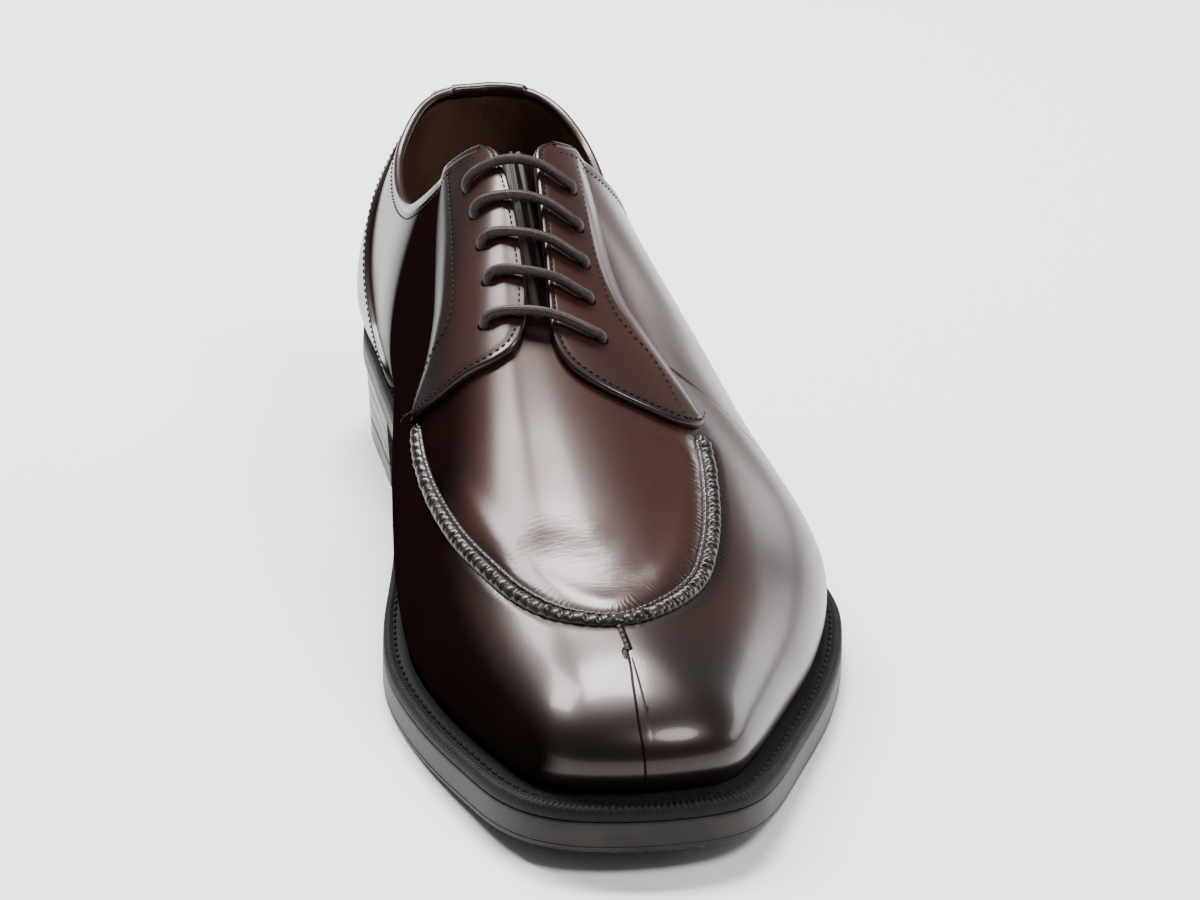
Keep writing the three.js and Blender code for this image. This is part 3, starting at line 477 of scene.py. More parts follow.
    def under(self, plan: Array) -> Array:
        """Parameters of the last under plan points: nearest of a grid, then Newton steps.

        Args:
            plan: points across and along, one a row.

        Returns:
            Rows of q and w.
        """
        goal = np.stack([plan[:, 0], self.heel_middle - plan[:, 1]], -1)
        grid = np.meshgrid(np.arange(0.02, 0.9, 0.02), np.arange(-0.7, 0.71, 0.05))
        gq, gw = (part.ravel() for part in grid)
        seen = self.point(gq, gw)[:, :2]
        nearest = np.argmin(((goal[:, None] - seen[None]) ** 2).sum(-1), axis=1)
        q, w = gq[nearest], gw[nearest]
        step = 0.002
        for _ in range(14):
            here = self.point(q, w)[:, :2]
            dq = (self.point(q + step, w)[:, :2] - here) / step
            dw = (self.point(q, w + step)[:, :2] - here) / step
            area = dq[:, 0] * dw[:, 1] - dq[:, 1] * dw[:, 0]
            miss = goal - here
            q = q + np.clip((miss[:, 0] * dw[:, 1] - miss[:, 1] * dw[:, 0]) / area, -0.05, 0.05)
            w = w + np.clip((dq[:, 0] * miss[:, 1] - dq[:, 1] * miss[:, 0]) / area, -0.1, 0.1)
        return np.stack([q, w], -1)

    def collar_level(self, points: Array) -> Array:
        """Height of the collar's cut over points, tilted between its inner and outer line."""
        share = (self.heel_middle - points[..., 1]) / self.length
        inner, outer = (
            smooth(TOPLINE["along"], TOPLINE[name], share) * self.collar_height
            for name in ("inner", "outer")
        )
        lean = np.clip(points[..., 0] / (0.35 * self.ball_width), -1, 1)
        return (inner + outer) / 2 + (outer - inner) / 2 * lean

    def _top(self, sign: int) -> Array:
        """v of the collar on one side at each share q, or above 1 where the ridge is lower."""
        v = np.linspace(0.15, 1, 240)
        q = self.shares
        points = self.point(q[:, None], sign * (1 - v)[None])
        over = points[..., 2] - self.collar_level(points)
        above = over > 0
        first = np.argmax(above, axis=1)
        rows = np.arange(len(q))
        low, high = over[rows, first - 1], over[rows, first]
        found = v[first - 1] + (v[first] - v[first - 1]) * low / (low - high)
        return np.where(above.any(axis=1), found, 1.2)

    def collar(self, sign: int, q: Array) -> Array:
        """v of the collar line on one side."""
        return np.interp(q, self.shares, self.tops[(sign + 1) // 2])

    def throat(self, sign: int, q: Array) -> Array:
        """v where the wall meets the opening under the facings, or 1 where it has none."""
        loop = spline(self.plan(THROAT), 8)
        v = np.linspace(0.3, 1, 220)
        points = self.point(q[:, None], sign * (1 - v)[None])
        x, y = points[..., 0], self.heel_middle - points[..., 1]
        inside = np.zeros(x.shape, bool)
        for (ax, ay), (bx, by) in zip(loop, np.roll(loop, -1, 0)):
            crosses = (ay > y) != (by > y)
            inside ^= crosses & (x < (bx - ax) * (y - ay) / ((by - ay) or 1e-9) + ax)
        return np.where(inside.any(axis=1), v[np.argmax(inside, axis=1)], 1.0)


def grid_faces(rows: int, columns: int) -> Array:
    """Quads over a grid of points stored row by row."""
    index = np.arange(rows * columns).reshape(rows, columns)
    corners = [index[:-1, :-1], index[1:, :-1], index[1:, 1:], index[:-1, 1:]]
    return np.stack([c.ravel() for c in corners], -1)


def ring_faces(rings: int, size: int) -> Array:
    """Quads between closed rings of points, stored ring by ring."""
    a = (np.arange(rings - 1)[:, None] * size + np.arange(size)[None]).ravel()
    b = (np.arange(rings - 1)[:, None] * size + (np.arange(size)[None] + 1) % size).ravel()
    return np.stack([a, b, b + size, a + size], -1)


def cap_faces(size: int, base: int) -> Array:
    """Quads across a ring that is paired from its first point: i lies opposite size - i."""
    i = np.arange(size // 2)
    return base + np.stack([i, i + 1, (size - i - 1) % size, (size - i) % size], -1)


def weld(points: Array, faces: Array) -> Array:
    """Faces with every corner moved to the first of the points that share its place."""
    key = np.round(points / 1e-4 + 0.37).astype(np.int64)
    _, first, inverse = np.unique(key, axis=0, return_index=True, return_inverse=True)
    return first[inverse.ravel()][faces]


def close_shell(top: Array, under: Array, faces: Array) -> tuple[Array, Array]:
    """A closed wall from two sheets with the same faces: the lower is turned, a rim joins them.

    Args:
        top: the points of the upper sheet.
        under: the points of the lower sheet.
        faces: the quads of the upper sheet.

    Returns:
        The points and quads of the wall: those of the upper sheet, the lower one, the rim.
    """
    count = len(top)
    edges = np.stack([faces, np.roll(faces, -1, 1)], -1).reshape(-1, 2)
    edges = edges[edges[:, 0] != edges[:, 1]]
    _, first, times = np.unique(
        np.sort(edges, 1), axis=0, return_index=True, return_counts=True
    )
    a, b = edges[first[times == 1]].T
    rim = np.stack([b, a, a + count, b + count], -1)
    return np.vstack([top, under]), np.vstack([faces, faces[:, ::-1] + count, rim])


def sweep(path: Array, across: Array, up: Array, profile: Array) -> tuple[Array, Array]:
    """A closed tube: a profile of widths and heights carried along a path.

    A point is path + across * width + up * height. Both ends are closed by a fan of quads.

    Args:
        path: the points that it follows.
        across: unit vectors across it at each point.
        up: unit vectors out of the surface at each point.
        profile: widths and heights, one loop for all points or one for each.

    Returns:
        Points and quads.
    """
    profile = np.broadcast_to(profile, (len(path), *profile.shape[-2:]))
    rings = (
        path[:, None]
        + across[:, None] * profile[..., :1]
        + up[:, None] * profile[..., 1:]
    )
    count, size = rings.shape[:2]
    faces = [ring_faces(count, size)]
    ends = rings[[0, -1]].mean(1)
    points = np.vstack([rings.reshape(-1, 3), ends])
    i = np.arange(size)
    for base, centre, turn in ((0, count * size, 1), ((count - 1) * size, count * size + 1, -1)):
        fan = np.stack([np.full(size, centre), base + (i + 1) % size, base + i, base + i], -1)
        faces.append(fan[:, ::turn])
    return points, np.vstack(faces)


def frames(path: Array, up: Array) -> tuple[Array, Array]:
    """Unit vectors along a path and across it, square to the given ups."""
    tangent = unit(np.gradient(path, axis=0))
    return tangent, unit(np.cross(tangent, up))


@dataclass
class Piece:
    """One visible piece: its points in millimetres, its faces and what it says of itself."""

    name: str
    points: Array
    faces: Array
    replaces: tuple[str, ...]
    slot: str
    materials: tuple[bpy.types.Material, ...]
    material_index: Array | None = None
    uv: dict[str, Array] = field(default_factory=dict)
    values: dict[str, Array] = field(default_factory=dict)
    sharp_degrees: float = 50.0

    def build(self) -> bpy.types.Object:
        """Makes the mesh and its object, merges doubles and turns all faces outwards.

        Returns:
            The object, riding on the shoe.
        """
        mesh = bpy.data.meshes.new(self.name)
        mesh.from_pydata((self.points * MM).tolist(), [], self._plain_faces())
        corner = np.zeros(len(mesh.loops), np.int32)
        mesh.loops.foreach_get("vertex_index", corner)
        for name, values in self.uv.items():
            layer = mesh.uv_layers.new(name=name)
            layer.data.foreach_set("uv", values[corner].astype(np.float32).ravel())
        for name, values in self.values.items():
            layer = mesh.attributes.new(name, "FLOAT", "POINT")
            layer.data.foreach_set("value", values.astype(np.float32))
        if self.material_index is not None:
            mesh.polygons.foreach_set("material_index", self.material_index[self.kept])
        work = bmesh.new()
        work.from_mesh(mesh)
        bmesh.ops.remove_doubles(work, verts=work.verts, dist=2e-6)
        bmesh.ops.recalc_face_normals(work, faces=work.faces)
        loose = [vert for vert in work.verts if not vert.link_faces]
        bmesh.ops.delete(work, geom=loose, context="VERTS")
        for face in work.faces:
            face.smooth = True
        work.to_mesh(mesh)
        work.free()
        mesh.set_sharp_from_angle(angle=math.radians(self.sharp_degrees))
        for material in self.materials:
            mesh.materials.append(material)
        made = bpy.data.objects.new(self.name, mesh)
        bpy.context.scene.collection.objects.link(made)
        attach(made, "root")
        if self.replaces:
            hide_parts(*self.replaces)
        log.info("%s: %d faces", self.name, len(mesh.polygons))
        return made

    def _plain_faces(self) -> list[list[int]]:
        """Faces without repeated corners; those with fewer than three are left out."""
        faces = self.faces
        repeated = faces == np.roll(faces, 1, 1)
        corners = 4 - repeated.sum(1)
        self.kept = np.flatnonzero(corners >= 3)
        rows = faces[self.kept].tolist()
        flags = repeated[self.kept].tolist()
        return [[c for c, same in zip(row, flag) if not same] for row, flag in zip(rows, flags)]


class Graph:
    """A short way to write a material's nodes."""

    def __init__(self, name: str) -> None:
        """Makes a material with one principled shader."""
        self.material = bpy.data.materials.new(name)
        self.material.use_nodes = True
        self.tree = self.material.node_tree
        self.shader = self.tree.nodes["Principled BSDF"]

    def node(self, kind: str, **inputs: object) -> bpy.types.Node:
        """Adds a node. A name that is a socket is set or linked, any other is a property."""
        made = self.tree.nodes.new(kind)
        names = {key.replace("_", " ").lower(): value for key, value in inputs.items()}
        for key, value in inputs.items():
            if hasattr(made, key):
                setattr(made, key, value)
                names.pop(key.replace("_", " ").lower(), None)
        for socket in made.inputs:
            if socket.name.lower() in names:
                self.feed(socket, names.pop(socket.name.lower()))
        return made

    def feed(self, socket: bpy.types.NodeSocket, value: object) -> None:
        """Links a socket to another, or sets its value."""
        if isinstance(value, bpy.types.NodeSocket):
            self.tree.links.new(value, socket)
        else:
            socket.default_value = value

    def math(self, operation: str, *values: object) -> bpy.types.NodeSocket:
        """A Math node over one to three values."""
        made = self.tree.nodes.new("ShaderNodeMath")
        made.operation = operation
        for socket, value in zip(made.inputs, values):
            self.feed(socket, value)
        return made.outputs[0]

    def noise(self, vector: object, scale: float, detail: float = 2.0) -> bpy.types.NodeSocket:
        """Noise from 0 to 1 at a number of waves a metre."""
        made = self.node("ShaderNodeTexNoise", vector=vector, scale=scale, detail=detail)
        return made.outputs["Fac"]

    def step(self, value: object, low: float, high: float) -> bpy.types.NodeSocket:
        """A smooth step from 0 at low to 1 at high."""
        made = self.tree.nodes.new("ShaderNodeMapRange")
        made.interpolation_type = "SMOOTHSTEP"
        self.feed(made.inputs["Value"], value)
        made.inputs["From Min"].default_value = low
        made.inputs["From Max"].default_value = high
        return made.outputs[0]

    def range(self, value: object, low: float, high: float) -> bpy.types.NodeSocket:
        """Maps 0..1 to low..high."""
        made = self.tree.nodes.new("ShaderNodeMapRange")
        self.feed(made.inputs["Value"], value)
        made.inputs["To Min"].default_value = low
        made.inputs["To Max"].default_value = high
        return made.outputs[0]

    def mix(self, factor: object, a: object, b: object) -> bpy.types.NodeSocket:
        """A colour between a and b."""
        made = self.tree.nodes.new("ShaderNodeMix")
        made.data_type = "RGBA"
        self.feed(made.inputs[0], factor)
        for socket, value in zip((made.inputs[6], made.inputs[7]), (a, b)):
            full = value if isinstance(value, bpy.types.NodeSocket) else (*value, 1.0)
            self.feed(socket, full)
        return made.outputs[2]

    def attribute(self, name: str) -> bpy.types.NodeSocket:
        """A value painted on the mesh's points."""
        return self.node("ShaderNodeAttribute", attribute_name=name).outputs["Fac"]

    def uv(self, name: str) -> tuple[bpy.types.NodeSocket, bpy.types.NodeSocket]:
        """Both parts of a UV map, in millimetres."""
        made = self.node("ShaderNodeUVMap", uv_map=name)
        parts = self.node("ShaderNodeSeparateXYZ", vector=made.outputs[0])
        return parts.outputs[0], parts.outputs[1]

    def place(self) -> bpy.types.NodeSocket:
        """Object coordinates, in metres."""
        return self.node("ShaderNodeTexCoord").outputs["Object"]

    def bump(self, height: object, depth: float, before: object = None) -> bpy.types.NodeSocket:
        """A bump as deep as depth in millimetres where the height is 1."""
        made = self.tree.nodes.new("ShaderNodeBump")
        made.inputs["Strength"].default_value = 1.0
        made.inputs["Distance"].default_value = depth * MM
        self.feed(made.inputs["Height"], height)
        if before is not None:
            self.feed(made.inputs["Normal"], before)
        return made.outputs[0]

    def set(self, **values: object) -> None:
        """Sets or links the shader's own sockets."""
        for name, value in values.items():
            self.feed(self.shader.inputs[name.replace("_", " ")], value)


@dataclass(frozen=True)
class PolishedLeather:
    """Burnished dark oak calf: a red brown that darkens at seams and edges, under hard wax.

    The points' values say how dark it is where burnished and where shade is painted on
    (burnish), how deep the pleats beside the apron seam are (gather), how deep the fine
    wrinkles across the ball are (flex), and how far gloss is held back where shade is painted
    on, in the place of dark reflections (matt).
    """

    name: str = "polished_calf"
    heart: tuple[float, float, float] = (0.024, 0.0072, 0.0052)
    dark: tuple[float, float, float] = (0.0042, 0.002, 0.0018)
    warm: tuple[float, float, float] = (0.044, 0.0125, 0.0068)
    pleat_pitch: float = 1.75

    def build(self) -> bpy.types.Material:
        """Returns the material."""
        g = Graph(self.name)
        place_ = g.place()
        broad = g.noise(place_, 38, 3)
        fine = g.noise(place_, 420, 4)
        # Darker where the leather is burnished and where shade is painted on.
        burnish = g.attribute("burnish")
        shade = g.math("ADD", burnish, g.range(broad, -0.3, 0.3))
        shade = g.math("ADD", shade, g.range(fine, -0.12, 0.12))
        warmth = g.step(g.noise(place_, 24, 2), 0.45, 0.8)
        body = g.mix(g.math("MULTIPLY", warmth, 0.6), self.heart, self.warm)
        g.set(Base_Color=g.mix(g.step(shade, -0.1, 0.95), body, self.dark))
        grain = g.node("ShaderNodeTexVoronoi", vector=place_, scale=1500.0).outputs["Distance"]
        skin = g.math("ADD", g.math("MULTIPLY", grain, 0.5), g.noise(place_, 3800, 2))
        normal = g.bump(skin, 0.006)
        arc, _ = g.uv("Seam")
        wander = g.math("MULTIPLY", g.noise(place_, 140, 3), 16)
        turn = g.math("MULTIPLY_ADD", arc, 2 * math.pi / self.pleat_pitch, wander)
        patchy = g.math("MULTIPLY", g.attribute("gather"), g.step(g.noise(place_, 260, 2), 0.4, 0.65))
        pleats = g.math("MULTIPLY", g.math("SINE", turn), patchy)
        normal = g.bump(pleats, 0.055, normal)
        stretch = g.node("ShaderNodeMapping", vector=place_)
        stretch.inputs["Scale"].default_value = (240, 900, 600)
        wrinkle = g.noise(stretch.outputs[0], 1.0, 3)
        normal = g.bump(g.math("MULTIPLY", wrinkle, g.attribute("flex")), 0.075, normal)
        # Gloss is held back where shade is painted on, in the place of dark reflections.
        painted_shade = g.attribute("painted_shade")
        g.set(
            Roughness=g.range(broad, 0.26, 0.38),
            Normal=normal,
            IOR=1.45,
            Specular_IOR_Level=g.range(painted_shade, 0.36, 0.0),
            Specular_Tint=(1.0, 0.78, 0.72, 1.0),
            Coat_Weight=g.range(painted_shade, 0.3, 0.0),
            Coat_Roughness=g.range(burnish, 0.21, 0.1),
            Coat_IOR=1.45,
            Coat_Normal=normal,
        )
        return g.material


@dataclass(frozen=True)
class PlainFinish:
    """A finish of one colour pair, mottled by noise, with a fine bump and a coat."""

    name: str
    light: tuple[float, float, float]
    dark: tuple[float, float, float]
    patch: float
    grain: float
    depth: float
    rough: tuple[float, float]
    coat: float = 0.0
    coat_rough: float = 0.2
    stretch: tuple[float, float, float] = (1.0, 1.0, 1.0)

    def build(self) -> bpy.types.Material:
        """Returns the material. Patch and grain are waves a metre, depth is in millimetres."""
        g = Graph(self.name)
        drawn = g.node("ShaderNodeMapping", vector=g.place())
        drawn.inputs["Scale"].default_value = self.stretch
        where = drawn.outputs[0]
        mottle = g.noise(where, self.patch, 4)
        g.set(
            Base_Color=g.mix(g.step(mottle, 0.3, 0.7), self.dark, self.light),
            Roughness=g.range(mottle, *self.rough),
            Normal=g.bump(g.noise(where, self.grain, 3), self.depth),
            IOR=1.5,
            Specular_IOR_Level=0.2,
            Coat_Weight=self.coat,
            Coat_Roughness=self.coat_rough,
        )
        return g.material


@dataclass(frozen=True)
class LaceFinish:
    """Round waxed cotton: a fine braid of slanted threads on the lace's own UV."""

    name: str = "waxed_lace"
    light: tuple[float, float, float] = (0.085, 0.05, 0.041)
    dark: tuple[float, float, float] = (0.004, 0.0024, 0.0022)
    thread: float = 1.0

    def build(self) -> bpy.types.Material:
        """Returns the material. Two sets of slanted waves cross, and their product is the braid."""
        g = Graph(self.name)
        along, around = g.uv("Length")
        turns = [
            g.math(
                "SINE",
                g.math("MULTIPLY", g.math("MULTIPLY_ADD", around, slant, along), 6.283 / self.thread),
            )
            for slant in (0.9, -0.9)
        ]
        braid = g.range(g.math("MULTIPLY", *turns), 0.5, 1.0)
        mottle = g.noise(g.place(), 900, 3)
        # The colour darkens in the braid's grooves between the threads: painted shade.
        tone = g.math("MULTIPLY", braid, mottle)
        g.set(
            Base_Color=g.mix(tone, self.dark, self.light),
            Roughness=0.5,
            Specular_IOR_Level=0.28,
            Normal=g.bump(braid, 0.16),
        )
        return g.material


class Finish(Enum):
    """Every finish of the shoe but the two that follow a pattern of their own."""

    SEAM = PlainFinish(
        "sewn_calf", (0.024, 0.011, 0.009), (0.003, 0.0018, 0.0017), 700, 2600, 0.05,
        (0.34, 0.48), 0.3, 0.16,
    )
    LINING = PlainFinish(
        "lining_calf", (0.12, 0.056, 0.034), (0.055, 0.026, 0.017), 45, 1700, 0.03, (0.5, 0.65)
    )
    SOCK = PlainFinish(
        "insole_calf", (0.05, 0.022, 0.013), (0.02, 0.009, 0.006), 60, 1500, 0.03, (0.45, 0.6)
    )
    WELT = PlainFinish(
        "dressed_welt", (0.007, 0.005, 0.0045), (0.002, 0.0016, 0.0016), 500, 2200, 0.05,
        (0.62, 0.78), 0.0, 0.2,
    )
    THREAD = PlainFinish(
        "waxed_thread", (0.005, 0.003, 0.0026), (0.0015, 0.001, 0.001), 1500, 5000, 0.02,
        (0.6, 0.75), 0.0, 0.3,
    )
    SOLE = PlainFinish(
        "waxed_sole_edge", (0.026, 0.022, 0.02), (0.012, 0.01, 0.009), 70, 2400, 0.02,
        (0.42, 0.56), 0.04, 0.2, (1, 1, 2),
    )
    HEEL = PlainFinish(
        "waxed_lifts", (0.014, 0.012, 0.011), (0.006, 0.005, 0.005), 120, 2400, 0.03,
        (0.3, 0.42), 0.15, 0.14, (1, 1, 3),
    )
    RUBBER = PlainFinish(
        "heel_rubber", (0.02, 0.019, 0.018), (0.01, 0.0095, 0.009), 300, 1800, 0.03, (0.5, 0.65)
    )

    def material(self) -> bpy.types.Material:
        """The finish's material, made once."""
        return bpy.data.materials.get(self.value.name) or self.value.build()


@dataclass
class Stitches:
    """Rows of short stitches: each is a bent spindle that dives into the leather at its ends."""

    name: str
    material: bpy.types.Material
    slot: str
    rows: list[Array] = field(default_factory=list)
    faces: list[Array] = field(default_factory=list)
    count: int = 0

    def add(self, path: Array, up: Array, pitch: float, size: tuple[float, float, float]) -> None:
        """Lays a row along a path.

        A stitch runs from -1 to 1 along; its radius follows sqrt(1 - t^4) and its middle arches
        by 1 - t^2.

        Args:
            path: points on the leather.
            up: unit vectors out of it.
            pitch: distance from stitch to stitch.
            size: length, thickness and arch of a stitch.
        """
        measure = lengths(path)
        number = max(int(measure[-1] / pitch), 1)
        at = (np.arange(number) + 0.5) * measure[-1] / number
        centre = read_run(path, measure, at)
        out = unit(read_run(up, measure, at))
        ahead = read_run(path, measure, at + pitch / 4) - read_run(path, measure, at - pitch / 4)
        tangent = unit(ahead)
        across = np.cross(tangent, out)
        t = np.linspace(-1, 1, 6)
        angle = np.linspace(0, 2 * np.pi, 6, endpoint=False)
        long, thick, arch = size
        radius = np.sqrt(np.clip(1.02 - t**4, 0.02, 1)) * thick / 2
        local = np.stack(
            np.broadcast_arrays(
                (t * long / 2)[:, None],
                radius[:, None] * np.cos(angle),
                radius[:, None] * np.sin(angle) + (arch * (1 - t * t) - arch * 0.35)[:, None],
            ),
            -1,
        ).reshape(-1, 3)
        axes = np.stack([tangent, across, out], 1)
        points = centre[:, None] + np.einsum("pk,nkj->npj", local, axes)
        one = np.vstack([ring_faces(6, 6), self._ends()])
        size_one = len(local)
        start = self.count + np.arange(number) * size_one
        self.faces.append((one[None] + start[:, None, None]).reshape(-1, 4))
        self.rows.append(points.reshape(-1, 3))
        self.count += number * size_one

    @staticmethod
    def _ends() -> Array:
        """Two quads over each six-sided end."""
        end = np.array([[0, 3, 2, 1], [0, 5, 4, 3]])
        return np.vstack([end, end[:, ::-1] + 30])

    def build(self) -> bpy.types.Object:
        """Joins the rows into one piece."""
        points, faces = np.vstack(self.rows), np.vstack(self.faces)
        return Piece(self.name, points, faces, (), self.slot, (self.material,)).build()


@dataclass
class ApronSeam:
    """The hand sewn seam round the apron: a ribbed roll beside a narrow stitched ridge."""

    last: Last
    width: float = 4.6
    rise: float = 1.55
    pitch: float = 3.05
    step: float = 0.22

    def __post_init__(self) -> None:
        """Lays the line of the seam on the last."""
        plan = even(spline(self.last.plan(APRON), 30), 260)
        chart = self.last.under(plan)
        line = self.last.point(chart[:, 0], chart[:, 1])
        count = int(lengths(line)[-1] / self.step)
        measure = lengths(line)
        at = np.linspace(0, measure[-1], count)
        self.chart = read_run(chart, measure, at)
        self.path = self.last.point(self.chart[:, 0], self.chart[:, 1])
        self.up = self.last.normal(self.chart[:, 0], self.chart[:, 1])
        self.tangent, self.across = frames(self.path, self.up)
        self.arc = lengths(self.path)

    def measure(self, points: Array) -> tuple[Array, Array]:
        """Arc length along the seam and signed distance from it, positive on the apron.

        Args:
            points: points near the last, one a row.

        Returns:
            The arc of the nearest point of the seam, and the distance.
        """
        coarse = self.path[::4]
        arc, far = np.zeros(len(points)), np.zeros(len(points))
        for start in range(0, len(points), 8000):
            block = slice(start, start + 8000)
            gap = points[block, None] - coarse[None]
            nearest = np.argmin((gap**2).sum(-1), axis=1)
            index = nearest * 4
            offset = points[block] - self.path[index]
            forward = (offset * self.tangent[index]).sum(-1)
            aside = offset - self.tangent[index] * forward[:, None]
            side = np.sign((aside * self.across[index]).sum(-1))
            arc[block] = self.arc[index] + forward
            far[block] = -side * np.linalg.norm(aside, axis=-1)
        return arc, far

    def build(self) -> bpy.types.Object:
        """Sweeps the roll's profile along the line.

        Across the seam e runs from -1 on the wall to 1 on the apron. The roll is a half ellipse
        round e = -0.22; its height is cut by |sin| ribs. The ridge is a small one at e = 0.74.
        """
        size = 25
        e = np.linspace(-1, 1, size)[None]
        arc = self.arc[:, None]
        drift = 0.35 * np.sin(arc * 0.61) + 0.22 * np.sin(arc * 1.37 + 1.0)
        pitch = lerp(self.pitch, 0.74 * self.pitch, ease((self.arc / self.arc[-1] - 0.45) / 0.2))
        turns = np.cumsum(np.gradient(self.arc) / pitch)[:, None]
        lobe = np.abs(np.sin(np.pi * (turns + drift / self.pitch) + 0.22 * e)) ** 0.6
        uneven = 1 + 0.1 * np.sin(arc * 0.83 + 2.0) + 0.07 * np.sin(arc * 2.1)
        roll = np.sqrt(np.clip(1 - ((e + 0.22) / 0.74) ** 2, 0, 1))
        height = self.rise * roll * (0.48 + 0.52 * lobe) * uneven
        twist = np.abs(np.sin(np.pi * (arc + drift) / (self.pitch / 2) + 0.6)) ** 0.7
        ridge = np.sqrt(np.clip(1 - ((e - 0.74) / 0.25) ** 2, 0, 1))
        height = np.maximum(height, 0.72 * ridge * (0.72 + 0.28 * twist))
        fade = ease(np.minimum(self.arc, self.arc[-1] - self.arc) / 2.5)[:, None]
        top = (height - 0.18) * lerp(0.5, 1, fade)
        spread = np.broadcast_to(e, top.shape) * self.width / 2 * lerp(0.6, 1, fade)
        bulge = 0.14 * (lobe - 0.5) * np.sign(e) * (np.abs(e) > 0.5)
        upper = np.stack([-(spread + bulge), top], -1)
        base = np.stack([-spread[:, ::-1], np.full_like(top, -0.7)], -1)[:, [0, size // 2, -1]]
        profile = np.concatenate([upper, base], 1)
        points, faces = sweep(self.path, self.across, self.up, profile)
        made = Piece(
            "apron_seam_roll", points, faces, ("apron_seam",), "seam_leather",
            (Finish.SEAM.material(),), sharp_degrees=70,
        )
        return made.build()


@dataclass
class ToeSeam:
    """The pinched seam from the welt up the toe to the apron: two lips with a fine line."""

    last: Last
    width: float = 1.35
    rise: float = 0.34
    # How far gloss is held back along the seam, where shade is painted on.
    painted_shade: float = 0.9

    def build(self) -> bpy.types.Object:
        """Sweeps two low lips up the toe; near the apron they close and pucker."""
        rising = np.linspace(0.985, 0.0, 160)
        stop = APRON_FRONT * self.last.length + 2.2
        level = np.linspace(0, 0.12, 160)[1:]
        ridge = self.last.point(level, 0 * level)
        level = level[self.last.heel_middle - ridge[:, 1] > stop]
        q = np.concatenate([0 * rising, level])
        w = np.concatenate([-rising, 0 * level])
        line = self.last.point(q, w)
        measure = lengths(line)
        share = 1 - measure / measure[-1]
        goal = smooth(TOE_LINE["rise"], TOE_LINE["across"], share) * self.last.ball_width
        for _ in range(6):
            step = self.last.point(q + 0.002, w)[:, 0] - self.last.point(q - 0.002, w)[:, 0]
            miss = goal - self.last.point(q, w)[:, 0]
            q = q + np.where(w < -0.03, np.clip(0.004 * miss / step, -0.004, 0.004), 0)
        line = self.last.point(q, w)
        up = self.last.normal(q, w)
        measure = lengths(line)
        at = np.arange(0, measure[-1], 0.25)
        path = read_run(line, measure, at)
        out = unit(blur_open(read_run(up, measure, at), 4))
        _, across = frames(path, out)
        e = np.linspace(-1, 1, 21)[None]
        share = (at / at[-1])[:, None]
        closed = ease((share - 0.7) / 0.1)
        lips = np.sqrt(np.clip(1 - ((np.abs(e) - 0.5) / 0.5) ** 2, 0, 1))
        lean = lerp(0.2, 1.0, (e > 0).astype(float))
        one = np.sqrt(np.clip(1 - e**2, 0, 1))
        pucker = 0.68 + 0.32 * np.abs(np.sin(np.pi * at / 1.9))[:, None] ** 0.6
        height = lerp(lips * lean, one * pucker, closed) * self.rise
        fade = ease(at / 3)[:, None]
        top = (height - 0.1) * fade
        spread = np.broadcast_to(e, top.shape) * lerp(self.width / 2, 0.9, closed)
        upper = np.stack([spread, top], -1)
        base = np.stack([spread[:, ::-1], np.full_like(top, -0.6)], -1)[:, [0, 10, -1]]
        points, faces = sweep(path, across, out, np.concatenate([upper, base], 1))
        # Painted shade: the seam is dark all along, darkest in the groove between the lips.
        groove_shade = 0.7 + 0.9 * np.exp(-((e / 0.16) ** 2)) * (1 - closed)
        ring = np.concatenate([np.broadcast_to(groove_shade, top.shape), np.ones((len(at), 3))], 1)
        burnish = np.append(ring.ravel(), [1, 1])
        zero = np.zeros(len(points))
        piece = Piece(
            "toe_seam_lips", points, faces, ("toe_seam",), "seam_leather",
            (PolishedLeather().build(),), uv={"Seam": np.zeros((len(points), 2))},
            values={"burnish": burnish, "gather": zero, "flex": zero, "painted_shade": zero + self.painted_shade},
            sharp_degrees=60,
        )
        return piece.build()


def blur_open(run: Array, steps: float) -> Array:
    """Gaussian mean of an open run, mirrored past both ends."""
    loop = np.concatenate([run, run[::-1]])
    return blur(loop, steps)[: len(run)]


